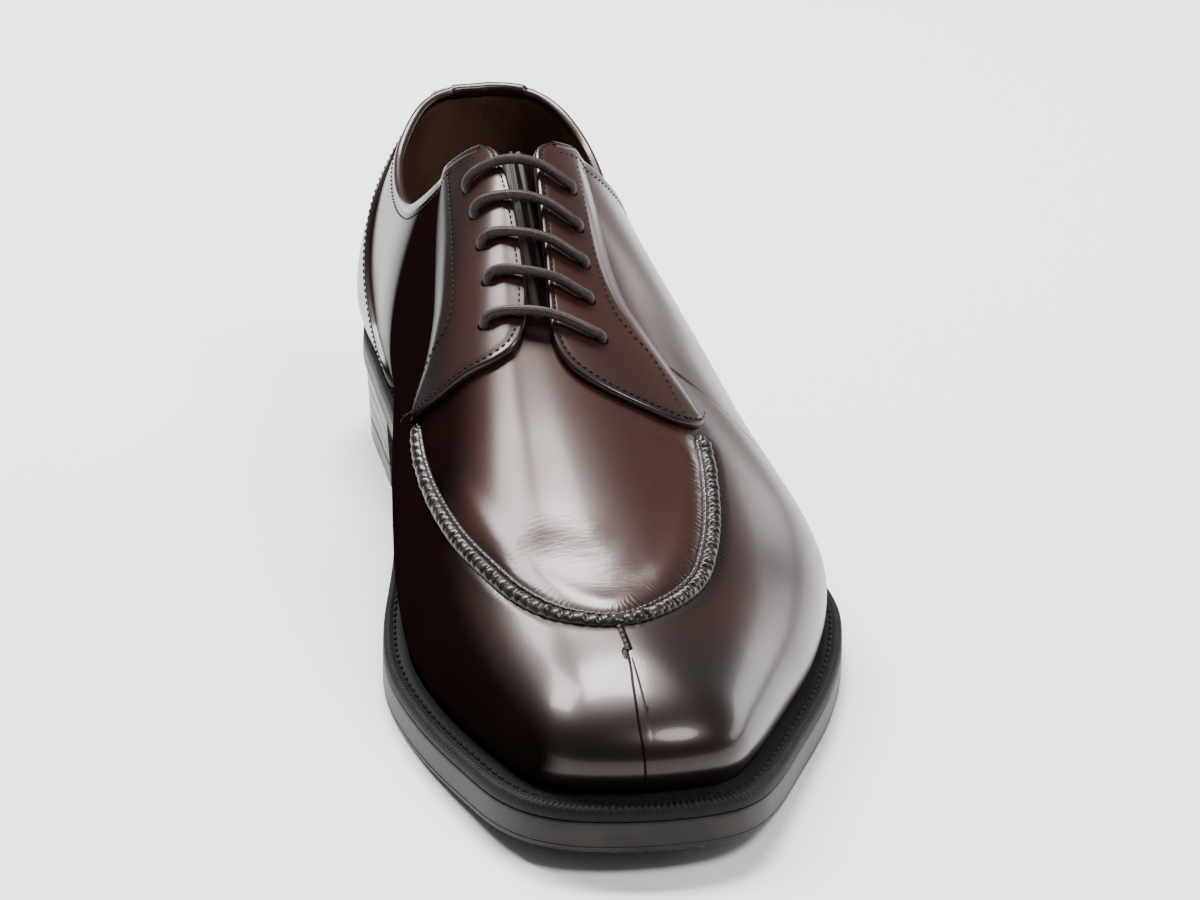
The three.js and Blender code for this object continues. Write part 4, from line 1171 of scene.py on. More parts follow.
@dataclass
class UpperShell:
    """Vamp, apron and quarters as one wall of leather and lining, open at collar and throat."""

    last: Last
    seam: ApronSeam
    columns: int = 280
    rows: int = 76

    def relief(self, points: Array) -> tuple[Array, Array, Array, Array]:
        """What lies on the bare last: a valley under the seam, pleats and flex.

        Args:
            points: points of the last, one a row.

        Returns:
            Outward shift, seam arc and distance as rows, gather and flex.
        """
        arc, far = self.seam.measure(points)
        along = self.last.heel_middle - points[:, 1]
        near = np.abs(far)
        inside = far > 0
        on_seam = (arc > 1) & (arc < self.seam.arc[-1] - 1)
        valley = -0.45 * (1 - ease((near - 1.2) / 2.6)) * on_seam
        swell = 0.35 * np.exp(-(((near - 6.5) / 3.2) ** 2)) * inside * on_seam
        pleat = np.where(inside, 1 - ease((near - 2) / 6.5), 0.6 * (1 - ease((near - 2) / 4)))
        outer_side = ease((arc - 0.5 * self.seam.arc[-1]) / 40)
        gather = pleat * on_seam * lerp(0.18, 1.0, outer_side)
        flex, worn = np.zeros(len(points)), np.zeros(len(points))
        for line, reach, depth in CREASES:
            bend = spline(np.array(line) * (self.last.ball_width, self.last.length), 12)
            gap = np.stack([points[:, 0], along], -1)[:, None] - bend[None]
            away = np.sqrt((gap**2).sum(-1))
            share = np.argmin(away, 1) / (len(bend) - 1)
            profile = np.exp(-((away.min(1) / reach) ** 2)) * ease(4 * share) * ease(4 - 4 * share)
            worn += depth * profile * ease((near - 1) / 4)
            flex = np.maximum(flex, profile * (near > 3))
        return valley + swell + worn, np.stack([arc, far], -1), gather, flex

    def where_shade_is_painted(self, points: Array, normal: Array, start: float) -> Array:
        """Where shade is painted on: the inner wall, and a patch low on the outer wall.

        Args:
            points: points of the last.
            normal: its normals there.
            start: how far a normal leans to the inner side where the painted shade on the wall begins.

        Returns:
            Shares from 0 to 1.
        """
        along = self.last.heel_middle - points[..., 1]
        wall = ease((-normal[..., 0] - start + 0.05) / 0.25) * ease((along - 50) / 40)
        patch = np.exp(-(((along - 222) / 22) ** 2) - ((points[..., 2] - 36) / 9) ** 2)
        return np.maximum(wall, 0.8 * patch * (normal[..., 0] > 0.2))

    def burnish(self, points: Array, seam: Array, v: Array) -> Array:
        """How dark the leather is: at the welt, the toe, the heel and beside the seams."""
        along = self.last.heel_middle - points[:, 1]
        welt = 0.55 * np.exp(-((v / 0.09) ** 2))
        toe = 0.5 * ease((along - 245) / 40)
        wall = 0.32 * (seam[:, 1] < 0) * ease((along - 150) / 60)
        heel = 0.45 * (1 - ease((along - 10) / 60))
        line = 0.45 * np.exp(-(((np.abs(seam[:, 1]) - 2) / 3.0) ** 2)) * (along > 160)
        return np.clip(0.1 + welt + toe + wall + heel + line, 0, 1)

    def build(self) -> bpy.types.Object:
        """Makes both sides as grids of q and v, welds them and gives them the wall's thickness.

        On each side v rises from the feather line to the collar, the throat or the ridge. A
        first row lies under the feather line, behind the welt.
        """
        last = self.last
        share = np.linspace(0, 1, self.columns + 1)
        q = share - 0.05 * np.sin(4 * np.pi * share)
        rise = np.linspace(0, 1, self.rows + 1)
        tops, unders, uvs, gathers, flexes, darkenings, painted_shades, faces = ([] for _ in range(8))
        for sign in (-1, 1):
            top = np.minimum(np.minimum(last.collar(sign, q), last.throat(sign, q)), 1)
            v = top[:, None] * rise[None]
            w = sign * (1 - v)
            qq = np.broadcast_to(q[:, None], v.shape)
            points = last.point(qq, w)
            normal = last.normal(qq, w)
            flat = normal[:, :1] * (1, 1, 0)
            normal[:, :1] = unit(flat)
            bare = points.reshape(-1, 3)
            shift, seam, gather, flex = self.relief(bare)
            outer = points + normal * shift.reshape(v.shape)[..., None]
            inner = points - normal * last.wall
            darkening = self.burnish(bare, seam, v.ravel())
            along = last.heel_middle - points[..., 1]
            # Painted shade on the inner wall and low on the outer wall: darker, with less gloss.
            painted_shade = self.where_shade_is_painted(points, normal, 0.6)
            # Painted shadow at the throat, under the first lace bar between the facings.
            throat_shadow = ease((180 - along) / 8) * (np.abs(points[..., 0] + 9) < 24) * (along > 160)
            painted_shade = np.maximum(painted_shade, throat_shadow)
            # The painted shade darkens the colour as well.
            darkening = np.maximum(darkening, 0.85 * painted_shade.ravel())
            skirt = (0, 0, last.welt - GAP)
            grids = [
                np.concatenate([grid[:, :1], grid], 1)
                for grid in (
                    outer, inner, seam.reshape(*v.shape, 2), gather.reshape(v.shape),
                    flex.reshape(v.shape), darkening.reshape(v.shape), painted_shade,
                )
            ]
            grids[0][:, 0] -= skirt
            grids[1][:, 0] -= skirt
            rows, columns = grids[0].shape[:2]
            made = grid_faces(rows, columns)
            faces.append((made if sign > 0 else made[:, ::-1]) + len(faces) * rows * columns)
            for store, grid in zip((tops, unders, uvs, gathers, flexes, darkenings, painted_shades), grids):
                store.append(grid.reshape(rows * columns, *grid.shape[2:]))
        outer = np.vstack(tops)
        sheet = weld(outer, np.vstack(faces))
        points, quads = close_shell(outer, np.vstack(unders), sheet)
        kind = np.zeros(len(quads), np.int32)
        kind[len(sheet) : 2 * len(sheet)] = 1
        painted = (gathers, flexes, darkenings, painted_shades)
        twice = [np.concatenate([np.concatenate(part)] * 2) for part in painted]
        piece = Piece(
            "upper_shell", points, quads, ("upper",), "upper_leather",
            (PolishedLeather().build(), Finish.LINING.material()), kind,
            {"Seam": np.concatenate([np.vstack(uvs)] * 2)},
            dict(zip(("gather", "flex", "burnish", "painted_shade"), twice)),
        )
        return piece.build()


@dataclass
class Facing:
    """One lace facing: a patch between its open edge and its sewn edge, with eyelet holes."""

    last: Last
    upper: UpperShell
    sign: int
    lacing: "Lacing"
    thickness: float = 1.7
    hole: float = 1.75
    corner: float = 4.5
    columns: int = 200
    rows: int = 56

    def __post_init__(self) -> None:
        """Draws both edges on the last's chart, each trimmed at the collar."""
        inner = self.sign < 0
        tables = (
            (INNER_FACING_OPEN, INNER_FACING_SEWN)
            if inner
            else (OUTER_FACING_OPEN, OUTER_FACING_SEWN)
        )
        self.open_edge, self.sewn_edge = (self._edge(rows) for rows in tables)
        down = lengths(self.last.point(self.open_edge[:, 0], self.open_edge[:, 1]))
        t = np.clip(down / self.corner, 0, 1)
        cut = self.corner * (1 - np.sqrt(1 - (1 - t) ** 2)) / self.widths()
        self.open_edge = lerp(self.open_edge, self.sewn_edge, cut[:, None])

    def _edge(self, rows: dict[str, Array]) -> Array:
        """An edge on the chart from the collar to the tip, an equal way apart on the last."""
        plan = even(spline(self.last.plan(rows), 16), 400)
        chart = self.last.under(plan)
        over = (1 - np.abs(chart[:, 1])) - self.last.collar(self.sign, chart[:, 0])
        above = np.flatnonzero(over > 0)
        k = above[-1] if len(above) else 0
        t = over[k] / (over[k] - over[k + 1]) if len(above) else 0.0
        chart = np.vstack([lerp(chart[k], chart[k + 1], t), chart[k + 1 :]])
        line = self.last.point(chart[:, 0], chart[:, 1])
        measure = lengths(line)
        return read_run(chart, measure, np.linspace(0, measure[-1], self.columns))

    def chart(self, b: Array) -> Array:
        """Chart of the patch: a straight blend of both edges, its top row drawn to the collar.

        Args:
            b: 0 on the open edge to 1 on the sewn edge, for each column.

        Returns:
            q and w of the grid.
        """
        near, far = self.open_edge[:, None], self.sewn_edge[:, None]
        made = near * (1 - b[..., None]) + far * b[..., None]
        top = self.sign * (1 - self.last.collar(self.sign, made[0, :, 0]))
        fade = (1 - np.linspace(0, 1, self.columns)) ** 5
        lift = top - made[0, :, 1]
        made[..., 1] += fade[:, None] * np.interp(b, b[0], lift)
        return made

    def widths(self) -> Array:
        """Distance between both edges at each column."""
        ends = [self.last.point(edge[:, 0], edge[:, 1]) for edge in (self.open_edge, self.sewn_edge)]
        return np.maximum(np.linalg.norm(ends[0] - ends[1], axis=-1), 0.05)

    def line(self, b: Array, lift: float) -> tuple[Array, Array]:
        """A line on the facing at b of each column, lifted off the last, with its normals."""
        chart = self.chart(np.broadcast_to(b, (self.columns,))[:, None])[:, 0]
        up = self.last.normal(chart[:, 0], chart[:, 1])
        return self.last.point(chart[:, 0], chart[:, 1]) + up * lift, up

    def drape(self, rows: dict[str, Array], lift: float) -> tuple[Array, Array]:
        """A plan line laid on the facing where it lies under the line, with its normals."""
        chart = self.last.under(even(spline(self.last.plan(rows), 12), 300))
        below = (1 - np.abs(chart[:, 1])) < self.last.collar(self.sign, chart[:, 0]) - 0.02
        chart = chart[below]
        path = self.last.point(chart[:, 0], chart[:, 1])
        up = self.last.normal(chart[:, 0], chart[:, 1])
        sewn = self.last.point(self.sewn_edge[:, 0], self.sewn_edge[:, 1])
        far = np.sqrt(((path[:, None] - sewn[None]) ** 2).sum(-1)).min(1)
        share = ease((far - 0.4) / 9)
        top = lerp(-0.25, GAP, share) + lerp(0.12, self.thickness, share)
        return path + up * (np.maximum(top, 0) + lift)[:, None], up

    def build(self) -> bpy.types.Object:
        """Makes the patch: full thickness at its open edge, let into the upper at its sewn one."""
        width = self.widths()[:, None]
        reach = np.minimum(1.0, width * 0.3)
        first = np.array([0, 0.06, 0.2, 0.45, 0.8, 1.0])[None] * reach / width
        rest = np.linspace(0, 1, self.rows - 5)[None, 1:]
        b = np.concatenate([first, lerp(first[:, -1:], 1, rest)], 1)
        chart = self.chart(b)
        q, w = chart[..., 0], chart[..., 1]
        points = self.last.point(q, w)
        normal = self.last.normal(q, w)
        flat = points.reshape(-1, 3)
        _, seam, _, _ = self.upper.relief(flat)
        far = (1 - b) * width
        sewn = ease((far - 0.4) / 9)
        edge = np.sqrt(np.clip(1 - (1 - np.clip(b * width / 0.9, 0, 1)) ** 2, 0, 1))
        down = np.cumsum(np.linalg.norm(np.diff(points, axis=0, prepend=points[:1]), axis=-1), 0)
        edge = np.minimum(edge, np.sqrt(np.clip(1 - (1 - np.clip(down / 0.9, 0, 1)) ** 2, 0, 1)))
        thick = lerp(0.12, self.thickness, sewn)
        low = lerp(-0.25, GAP, sewn)
        top = low + thick * lerp(0.42, 1, edge)
        stitch = np.exp(-(((b * width - 2.1) / 0.55) ** 2))
        top = top - 0.12 * stitch * (width > 5)
        outer = (points + normal * top[..., None]).reshape(-1, 3)
        inner = (points + normal * low[..., None]).reshape(-1, 3)
        faces = grid_faces(*b.shape)
        outer, inner, faces = self._punch(outer, inner, faces)
        made, quads = close_shell(outer, inner, weld(outer, faces))
        ground = self.upper.burnish(flat, seam * (1, 0) - (0, 99), 1 - np.abs(w.ravel()))
        # Painted shade where the facing leans to the inner side, as on the wall.
        painted_shade = self.upper.where_shade_is_painted(points, normal, 0.72)
        darkening = ground.reshape(b.shape) + 0.4 * np.exp(-((b * width / 2.0) ** 2))
        # The painted shade darkens the colour as well.
        darkening = np.maximum(darkening, 0.85 * painted_shade)
        double = {
            "burnish": np.tile(np.clip(darkening, 0, 1).ravel(), 2),
            "gather": np.zeros(len(made)),
            "flex": np.zeros(len(made)),
            "painted_shade": np.tile(painted_shade.ravel(), 2),
        }
        side = "inner" if self.sign < 0 else "outer"
        piece = Piece(
            f"facing_{side}_flap", made, quads, (f"facing_{side}",), "upper_leather",
            (PolishedLeather().build(),), uv={"Seam": np.tile(seam, (2, 1))}, values=double,
        )
        return piece.build()

    def _punch(self, outer: Array, inner: Array, faces: Array) -> tuple[Array, Array, Array]:
        """Opens the eyelet holes: faces inside go, the rim's points move out to the circle."""
        keep = np.ones(len(faces), bool)
        for centre, axis in self.lacing.holes(self.sign):
            offset = outer - centre
            aside = offset - (offset @ axis)[:, None] * axis
            radius = np.linalg.norm(aside, axis=-1)
            gone = radius[faces].mean(1) < self.hole
            keep &= ~gone
            rim = np.intersect1d(faces[gone], faces[~gone])
            move = aside[rim] * (self.hole / radius[rim] - 1)[:, None]
            outer[rim] += move
            inner[rim] += move
        return outer, inner, faces[keep]


@dataclass
class Lacing:
    """Eyelet places and the lace that crosses them in straight bars."""

    last: Last
    facing: float = 1.7
    radius: float = 1.25
    eyelets: int = 5
    pitch: float = 12.6
    inset: float = 8.5
    throat_gap: float = 5.5
    turn: float = 2.6
    bend: float = 0.7

    def __post_init__(self) -> None:
        """Steps the eyelet stations up the slope of the ridge."""
        self.over = GAP + self.facing + GAP + self.radius + 0.1
        self.below = -self.radius - 0.2
        self.stations = [0.5625 * self.last.length]
        while len(self.stations) < self.eyelets:
            start = self.stations[-1]
            _, _, slope = self.last.ridge(np.array(start - self.pitch / 2))
            self.stations.append(start - self.pitch / math.hypot(1, float(slope)))

    def middle(self, along: float) -> float:
        """Across of the middle line between the facings."""
        share = np.array(along / self.last.length)
        return float(smooth(THROAT_LINE["along"], THROAT_LINE["across"], share)) * (
            self.last.ball_width
        )

    def eyelet(self, sign: int, k: int) -> tuple[float, float, int]:
        """Across and along of an eyelet, with its side."""
        along = self.stations[k] + sign * 0.01 * self.last.length
        spread = 1.15 if k == 0 else 1.0
        return self.middle(along) + sign * (self.throat_gap / 2 + self.inset) * spread, along, sign

    def holes(self, sign: int) -> list[tuple[Array, Array]]:
        """Centre and axis of each eyelet hole on one side."""
        plan = np.array([self.eyelet(sign, k)[:2] for k in range(self.eyelets)])
        chart = self.last.under(plan)
        centres = self.last.point(chart[:, 0], chart[:, 1])
        return list(zip(centres, self.last.normal(chart[:, 0], chart[:, 1])))

    def route(self) -> Array:
        """Rows of across, along and height over the last, from one hidden end to the other."""
        route: list[tuple[float, float, float]] = []
        top = self.stations[-1]
        first = self.eyelet(-1, 0)

        def hidden(along: float) -> float:
            """Across of the run hidden under the inner facing."""
            return self.middle(along) - self.throat_gap / 2 - 3.4

        for along in (top - 4, *self.stations[3:0:-1]):
            route.append((hidden(along), along, self.below))
        route.append(
            (
                lerp(hidden(self.stations[0]), first[0], 0.6),
                lerp(self.stations[1], first[1], 0.4),
                self.below,
            )
        )

        def over(eye: tuple[float, float, int]) -> list[tuple[float, float, float]]:
            """Up out of an eyelet and on towards the throat."""
            across, along, sign = eye
            return [
                (across, along, 1.9),
                (across - sign * self.bend, along, self.over - 0.5),
                (across - sign * self.turn, along, self.over),
            ]

        def under(eye: tuple[float, float, int], way: int) -> list[tuple[float, float, float]]:
            """Down into an eyelet and on under the facing."""
            across, along, _ = eye
            return [
                (across, along, 0.4),
                (across, along + way * self.bend, self.below + 0.5),
                (across, along + way * self.turn, self.below),
            ]

        route += under(first, -1)[::-1] + over(first)
        for k in range(self.eyelets):
            here, there = (-1, 1) if k % 2 == 0 else (1, -1)
            start, end = self.eyelet(here, k), self.eyelet(there, k)
            line = self.middle((start[1] + end[1]) / 2)
            for share, sign in ((0.4, here), (0.6, -here)):
                route.append((line + 3 * sign, lerp(start[1], end[1], share), self.over + 0.2))
            route += over(end)[::-1] + under(end, -1)
            if k < self.eyelets - 1:
                after = self.eyelet(there, k + 1)
                route += under(after, 1)[::-1] + over(after)
        return np.array(route)

    def build(self) -> bpy.types.Object:
        """Sweeps a round section along the route, which is draped over the last."""
        route = self.route()
        chart = self.last.under(route[:, :2])
        ups = self.last.normal(chart[:, 0], chart[:, 1])
        places = self.last.point(chart[:, 0], chart[:, 1]) + ups * route[:, 2:]
        line = spline(places, 10)
        measure = lengths(line)
        path = read_run(line, measure, np.linspace(0, measure[-1], int(measure[-1] / 0.5)))
        path = blur_open(path, 1.0)
        tangent = unit(np.gradient(path, axis=0))
        side = self._turn_free(tangent)
        up = np.cross(side, tangent)
        size = 14
        angle = np.linspace(0, 2 * np.pi, size, endpoint=False)
        profile = self.radius * np.stack([np.cos(angle), np.sin(angle)], -1)
        log.info("lace: %.0f mm from hidden end to hidden end", lengths(path)[-1])
        points, faces = sweep(path, side, up, profile)
        along = np.append(np.repeat(lengths(path), size), [0, 0])
        around = np.append(np.tile(2 * np.pi * self.radius * np.arange(size) / size, len(path)), [0, 0])
        piece = Piece(
            "lace_cord", points, faces, ("lace",), "lace", (LaceFinish().build(),),
            uv={"Length": np.stack([along, around], -1)},
        )
        return piece.build()

    @staticmethod
    def _turn_free(tangent: Array) -> Array:
        """Side vectors carried along a path without twist, each squared to the next tangent."""
        side = np.empty_like(tangent)
        now = np.cross(tangent[0], (0.0, 0.0, 1.0))
        for i, direction in enumerate(tangent):
            now = now - direction * (now @ direction)
            now = now / np.linalg.norm(now)
            side[i] = now
        return side


@dataclass
class Tongue:
    """The tongue under the facings."""

    last: Last
    depth: float = 3.0
    thickness: float = 1.5

    def build(self) -> bpy.types.Object:
        """Makes the strip between its two plan lines, crowned a little along its middle."""
        along = np.linspace(TONGUE_PLAN["along"][0] + 0.03, TONGUE_PLAN["along"][-1], 90)
        low, high = (
            smooth(TONGUE_PLAN["along"], TONGUE_PLAN[name], along) * self.last.ball_width
            for name in ("inner", "outer")
        )
        b = np.linspace(0, 1, 40)
        across = lerp(low[:, None], high[:, None], b[None])
        length = np.broadcast_to(along[:, None] * self.last.length, across.shape)
        chart = self.last.under(np.stack([across.ravel(), length.ravel()], -1))
        points = self.last.point(chart[:, 0], chart[:, 1])
        up = self.last.normal(chart[:, 0], chart[:, 1])
        front = ease((length.ravel() / self.last.length - 0.575) / 0.02)
        lift = lerp(-self.depth, -self.last.wall - GAP, front)
        edge = np.minimum(b, 1 - b) * 30
        soft = np.tile(np.sqrt(np.clip(1 - (1 - np.clip(edge, 0, 1)) ** 2, 0, 1)), 90)
        fold = 0.25 * np.cos((across.ravel() - self.last.ball_width * -0.075) * 1.9)
        fold = fold * np.exp(-(((across.ravel() + 8.5) / 5) ** 2)) * (1 - front)
        outer = points + up * (lift - 0.7 * (1 - soft) + fold)[:, None]
        inner = points + up * (lift - self.thickness)[:, None]
        made, quads = close_shell(outer, inner, grid_faces(90, 40))
        piece = Piece(
            "tongue_leather", made, quads, ("tongue",), "upper_leather",
            (PolishedLeather().build(),), uv={"Seam": np.zeros((len(made), 2))},
            # The tongue is painted dark and held back in gloss: painted shade between the facings.
            values={
                "burnish": np.full(len(made), 0.9),
                "painted_shade": np.full(len(made), 0.9),
                "gather": np.zeros(len(made)),
                "flex": np.zeros(len(made)),
            },
        )
        return piece.build()


@dataclass
class Counter:
    """The overlay round the heel, from the welt to the collar."""

    last: Last
    upper: UpperShell
    thickness: float = 1.2
    columns: int = 110
    rows: int = 70

    def _front(self, sign: int, rise: Array) -> Array:
        """q of the front edge at each share of the wall's height, by halving."""
        low, high = np.full(len(rise), 0.55), np.full(len(rise), 0.995)
        for _ in range(28):
            q = (low + high) / 2
            point = self.last.point(q, sign * (1 - rise * self.last.collar(sign, q)))
            level = point[:, 2] / self.last.collar_height
            edge = smooth(COUNTER_EDGE["height"], COUNTER_EDGE["along"], level)
            ahead = (self.last.heel_middle - point[:, 1]) / self.last.length > edge
            low, high = np.where(ahead, q, low), np.where(ahead, high, q)
        return q

    def edge(self, sign: int, inset: float) -> tuple[Array, Array]:
        """A line on the counter, an inset behind its front edge, with its normals."""
        rise = np.linspace(0.03, 0.985, 90)
        q = self._front(sign, rise)
        half = self.last.point(q, sign * (1 - rise * self.last.collar(sign, q)))
        step = np.linalg.norm(
            self.last.point(q + 0.01, sign * (1 - rise * self.last.collar(sign, q))) - half, axis=-1
        )
        q = q + 0.01 * inset / step
        w = sign * (1 - rise * self.last.collar(sign, q))
        up = self.last.normal(q, w)
        return self.last.point(q, w) + up * (GAP + self.thickness), up

    def build(self) -> bpy.types.Object:
        """Makes one sheet from the inner front edge round the heel to the outer one."""
        rise = np.concatenate([[0.0, 0.004, 0.01], np.linspace(0.02, 1, self.rows - 3)])
        t = np.concatenate([[0, 0.002, 0.006, 0.013], np.linspace(0.022, 1, self.columns - 4)])
        charts, gaps = [], []
        for sign in (-1, 1):
            front = self._front(sign, rise)[:, None]
            q = lerp(front, 1, t[None])
            w = sign * (1 - rise[:, None] * self.last.collar(sign, q))
            points = self.last.point(q, w)
            travel = np.linalg.norm(np.diff(points, axis=1, prepend=points[:, :1]), axis=-1)
            charts.append(np.stack([q, w], -1))
            gaps.append(np.cumsum(travel, 1))
        chart = np.concatenate([charts[0], charts[1][:, -2::-1]], 1)
        gap = np.concatenate([gaps[0], gaps[1][:, -2::-1]], 1)
        q, w = chart[..., 0], chart[..., 1]
        points, up = self.last.point(q, w), self.last.normal(q, w)
        edge = np.sqrt(np.clip(1 - (1 - np.clip(gap / 0.8, 0, 1)) ** 2, 0, 1))
        seam = 0.1 * np.exp(-(((gap - 2.0) / 0.5) ** 2))
        top = GAP - 0.2 + (self.thickness + 0.2) * lerp(0.4, 1, edge) - seam
        outer = (points + up * top[..., None]).reshape(-1, 3)
        inner = (points + up * 0.1).reshape(-1, 3)
        made, quads = close_shell(outer, inner, grid_faces(*q.shape))
        darkening = 0.45 + 0.3 * np.exp(-((gap / 2.5) ** 2)) + 0.2 * (1 - np.abs(w))
        zero = np.zeros(len(made))
        piece = Piece(
            "heel_counter_cover", made, quads, ("heel_counter",), "upper_leather",
            (PolishedLeather().build(),), uv={"Seam": np.zeros((len(made), 2))},
            values={
                "burnish": np.tile(np.clip(darkening, 0, 1).ravel(), 2), "gather": zero, "flex": zero
            },
        )
        return piece.build()


@dataclass
class CollarRoll:
    """The turned and sewn edge round the collar, over the facings' tops, with a heel tab."""

    last: Last
    facings: tuple[Facing, Facing]
    tab: float = 10.0

    def line(self) -> tuple[Array, Array, Array]:
        """The collar from the inner facing round the heel to the outer one.

        Returns:
            Points on the last, normals, and how far each lies on a facing, from 0 to 1.
        """
        parts, layers = [], []
        for sign, facing in zip((-1, 1), self.facings):
            start, sewn = facing.open_edge[0, 0], facing.sewn_edge[0, 0]
            q = np.linspace(start, 1, 500)
            w = sign * (1 - np.minimum(self.last.collar(sign, q), 1))
            edge = self.last.point(q, w)
            gap = lengths(edge)
            layer = ease((np.interp(sewn, q, gap) - gap - 0.4) / 9)
            parts.append(np.stack([q, w], -1))
            layers.append(layer)
        chart = np.concatenate([parts[0], parts[1][-2::-1]])
        layer = np.concatenate([layers[0], layers[1][-2::-1]])
        line = self.last.point(chart[:, 0], chart[:, 1])
        up = self.last.normal(chart[:, 0], chart[:, 1])
        measure = lengths(line)
        at = np.arange(0, measure[-1], 0.6)
        return (
            blur_open(read_run(line, measure, at), 3),
            unit(blur_open(read_run(up, measure, at), 5)),
            np.interp(at, measure, layer),
        )

    def build(self) -> bpy.types.Object:
        """Sweeps an oval over the edge; it is thicker on the facings and on the heel tab."""
        path, up, layer = self.line()
        _, across = frames(path, up)
        measure = lengths(path)
        heel = np.argmax(path[:, 1])
        tab = 1 - ease((np.abs(measure - measure[heel]) - self.tab) / 0.8)
        low, high = -self.last.wall - 0.25, 0.4 + 2.05 * layer + 0.55 * tab
        angle = np.linspace(0, 2 * np.pi, 18, endpoint=False)
        ring = np.stack([np.cos(angle), np.sin(angle)], -1)
        square = np.sign(ring) * np.abs(ring) ** 0.75
        middle, half = (low + high) / 2, (high - low) / 2
        tall = 1.5 + 0.5 * tab
        width = square[None, :, 0] * tall[:, None] - 0.15
        height = middle[:, None] + square[None, :, 1] * half[:, None]
        points, faces = sweep(path, across, up, np.stack([width, height], -1))
        count = len(points)
        piece = Piece(
            "collar_binding", points, faces, (), "upper_leather", (PolishedLeather().build(),),
            uv={"Seam": np.zeros((count, 2))},
            values={
                "burnish": np.full(count, 0.45), "gather": np.zeros(count), "flex": np.zeros(count)
            },
        )
        return piece.build()

    def stitch_line(self, drop: float, lift: float) -> tuple[Array, Array]:
        """A line on the leather a drop under the roll, with its normals."""
        path, up, layer = self.line()
        _, across = frames(path, up)
        return path - across * drop + up * (lift + 1.95 * layer)[:, None], up


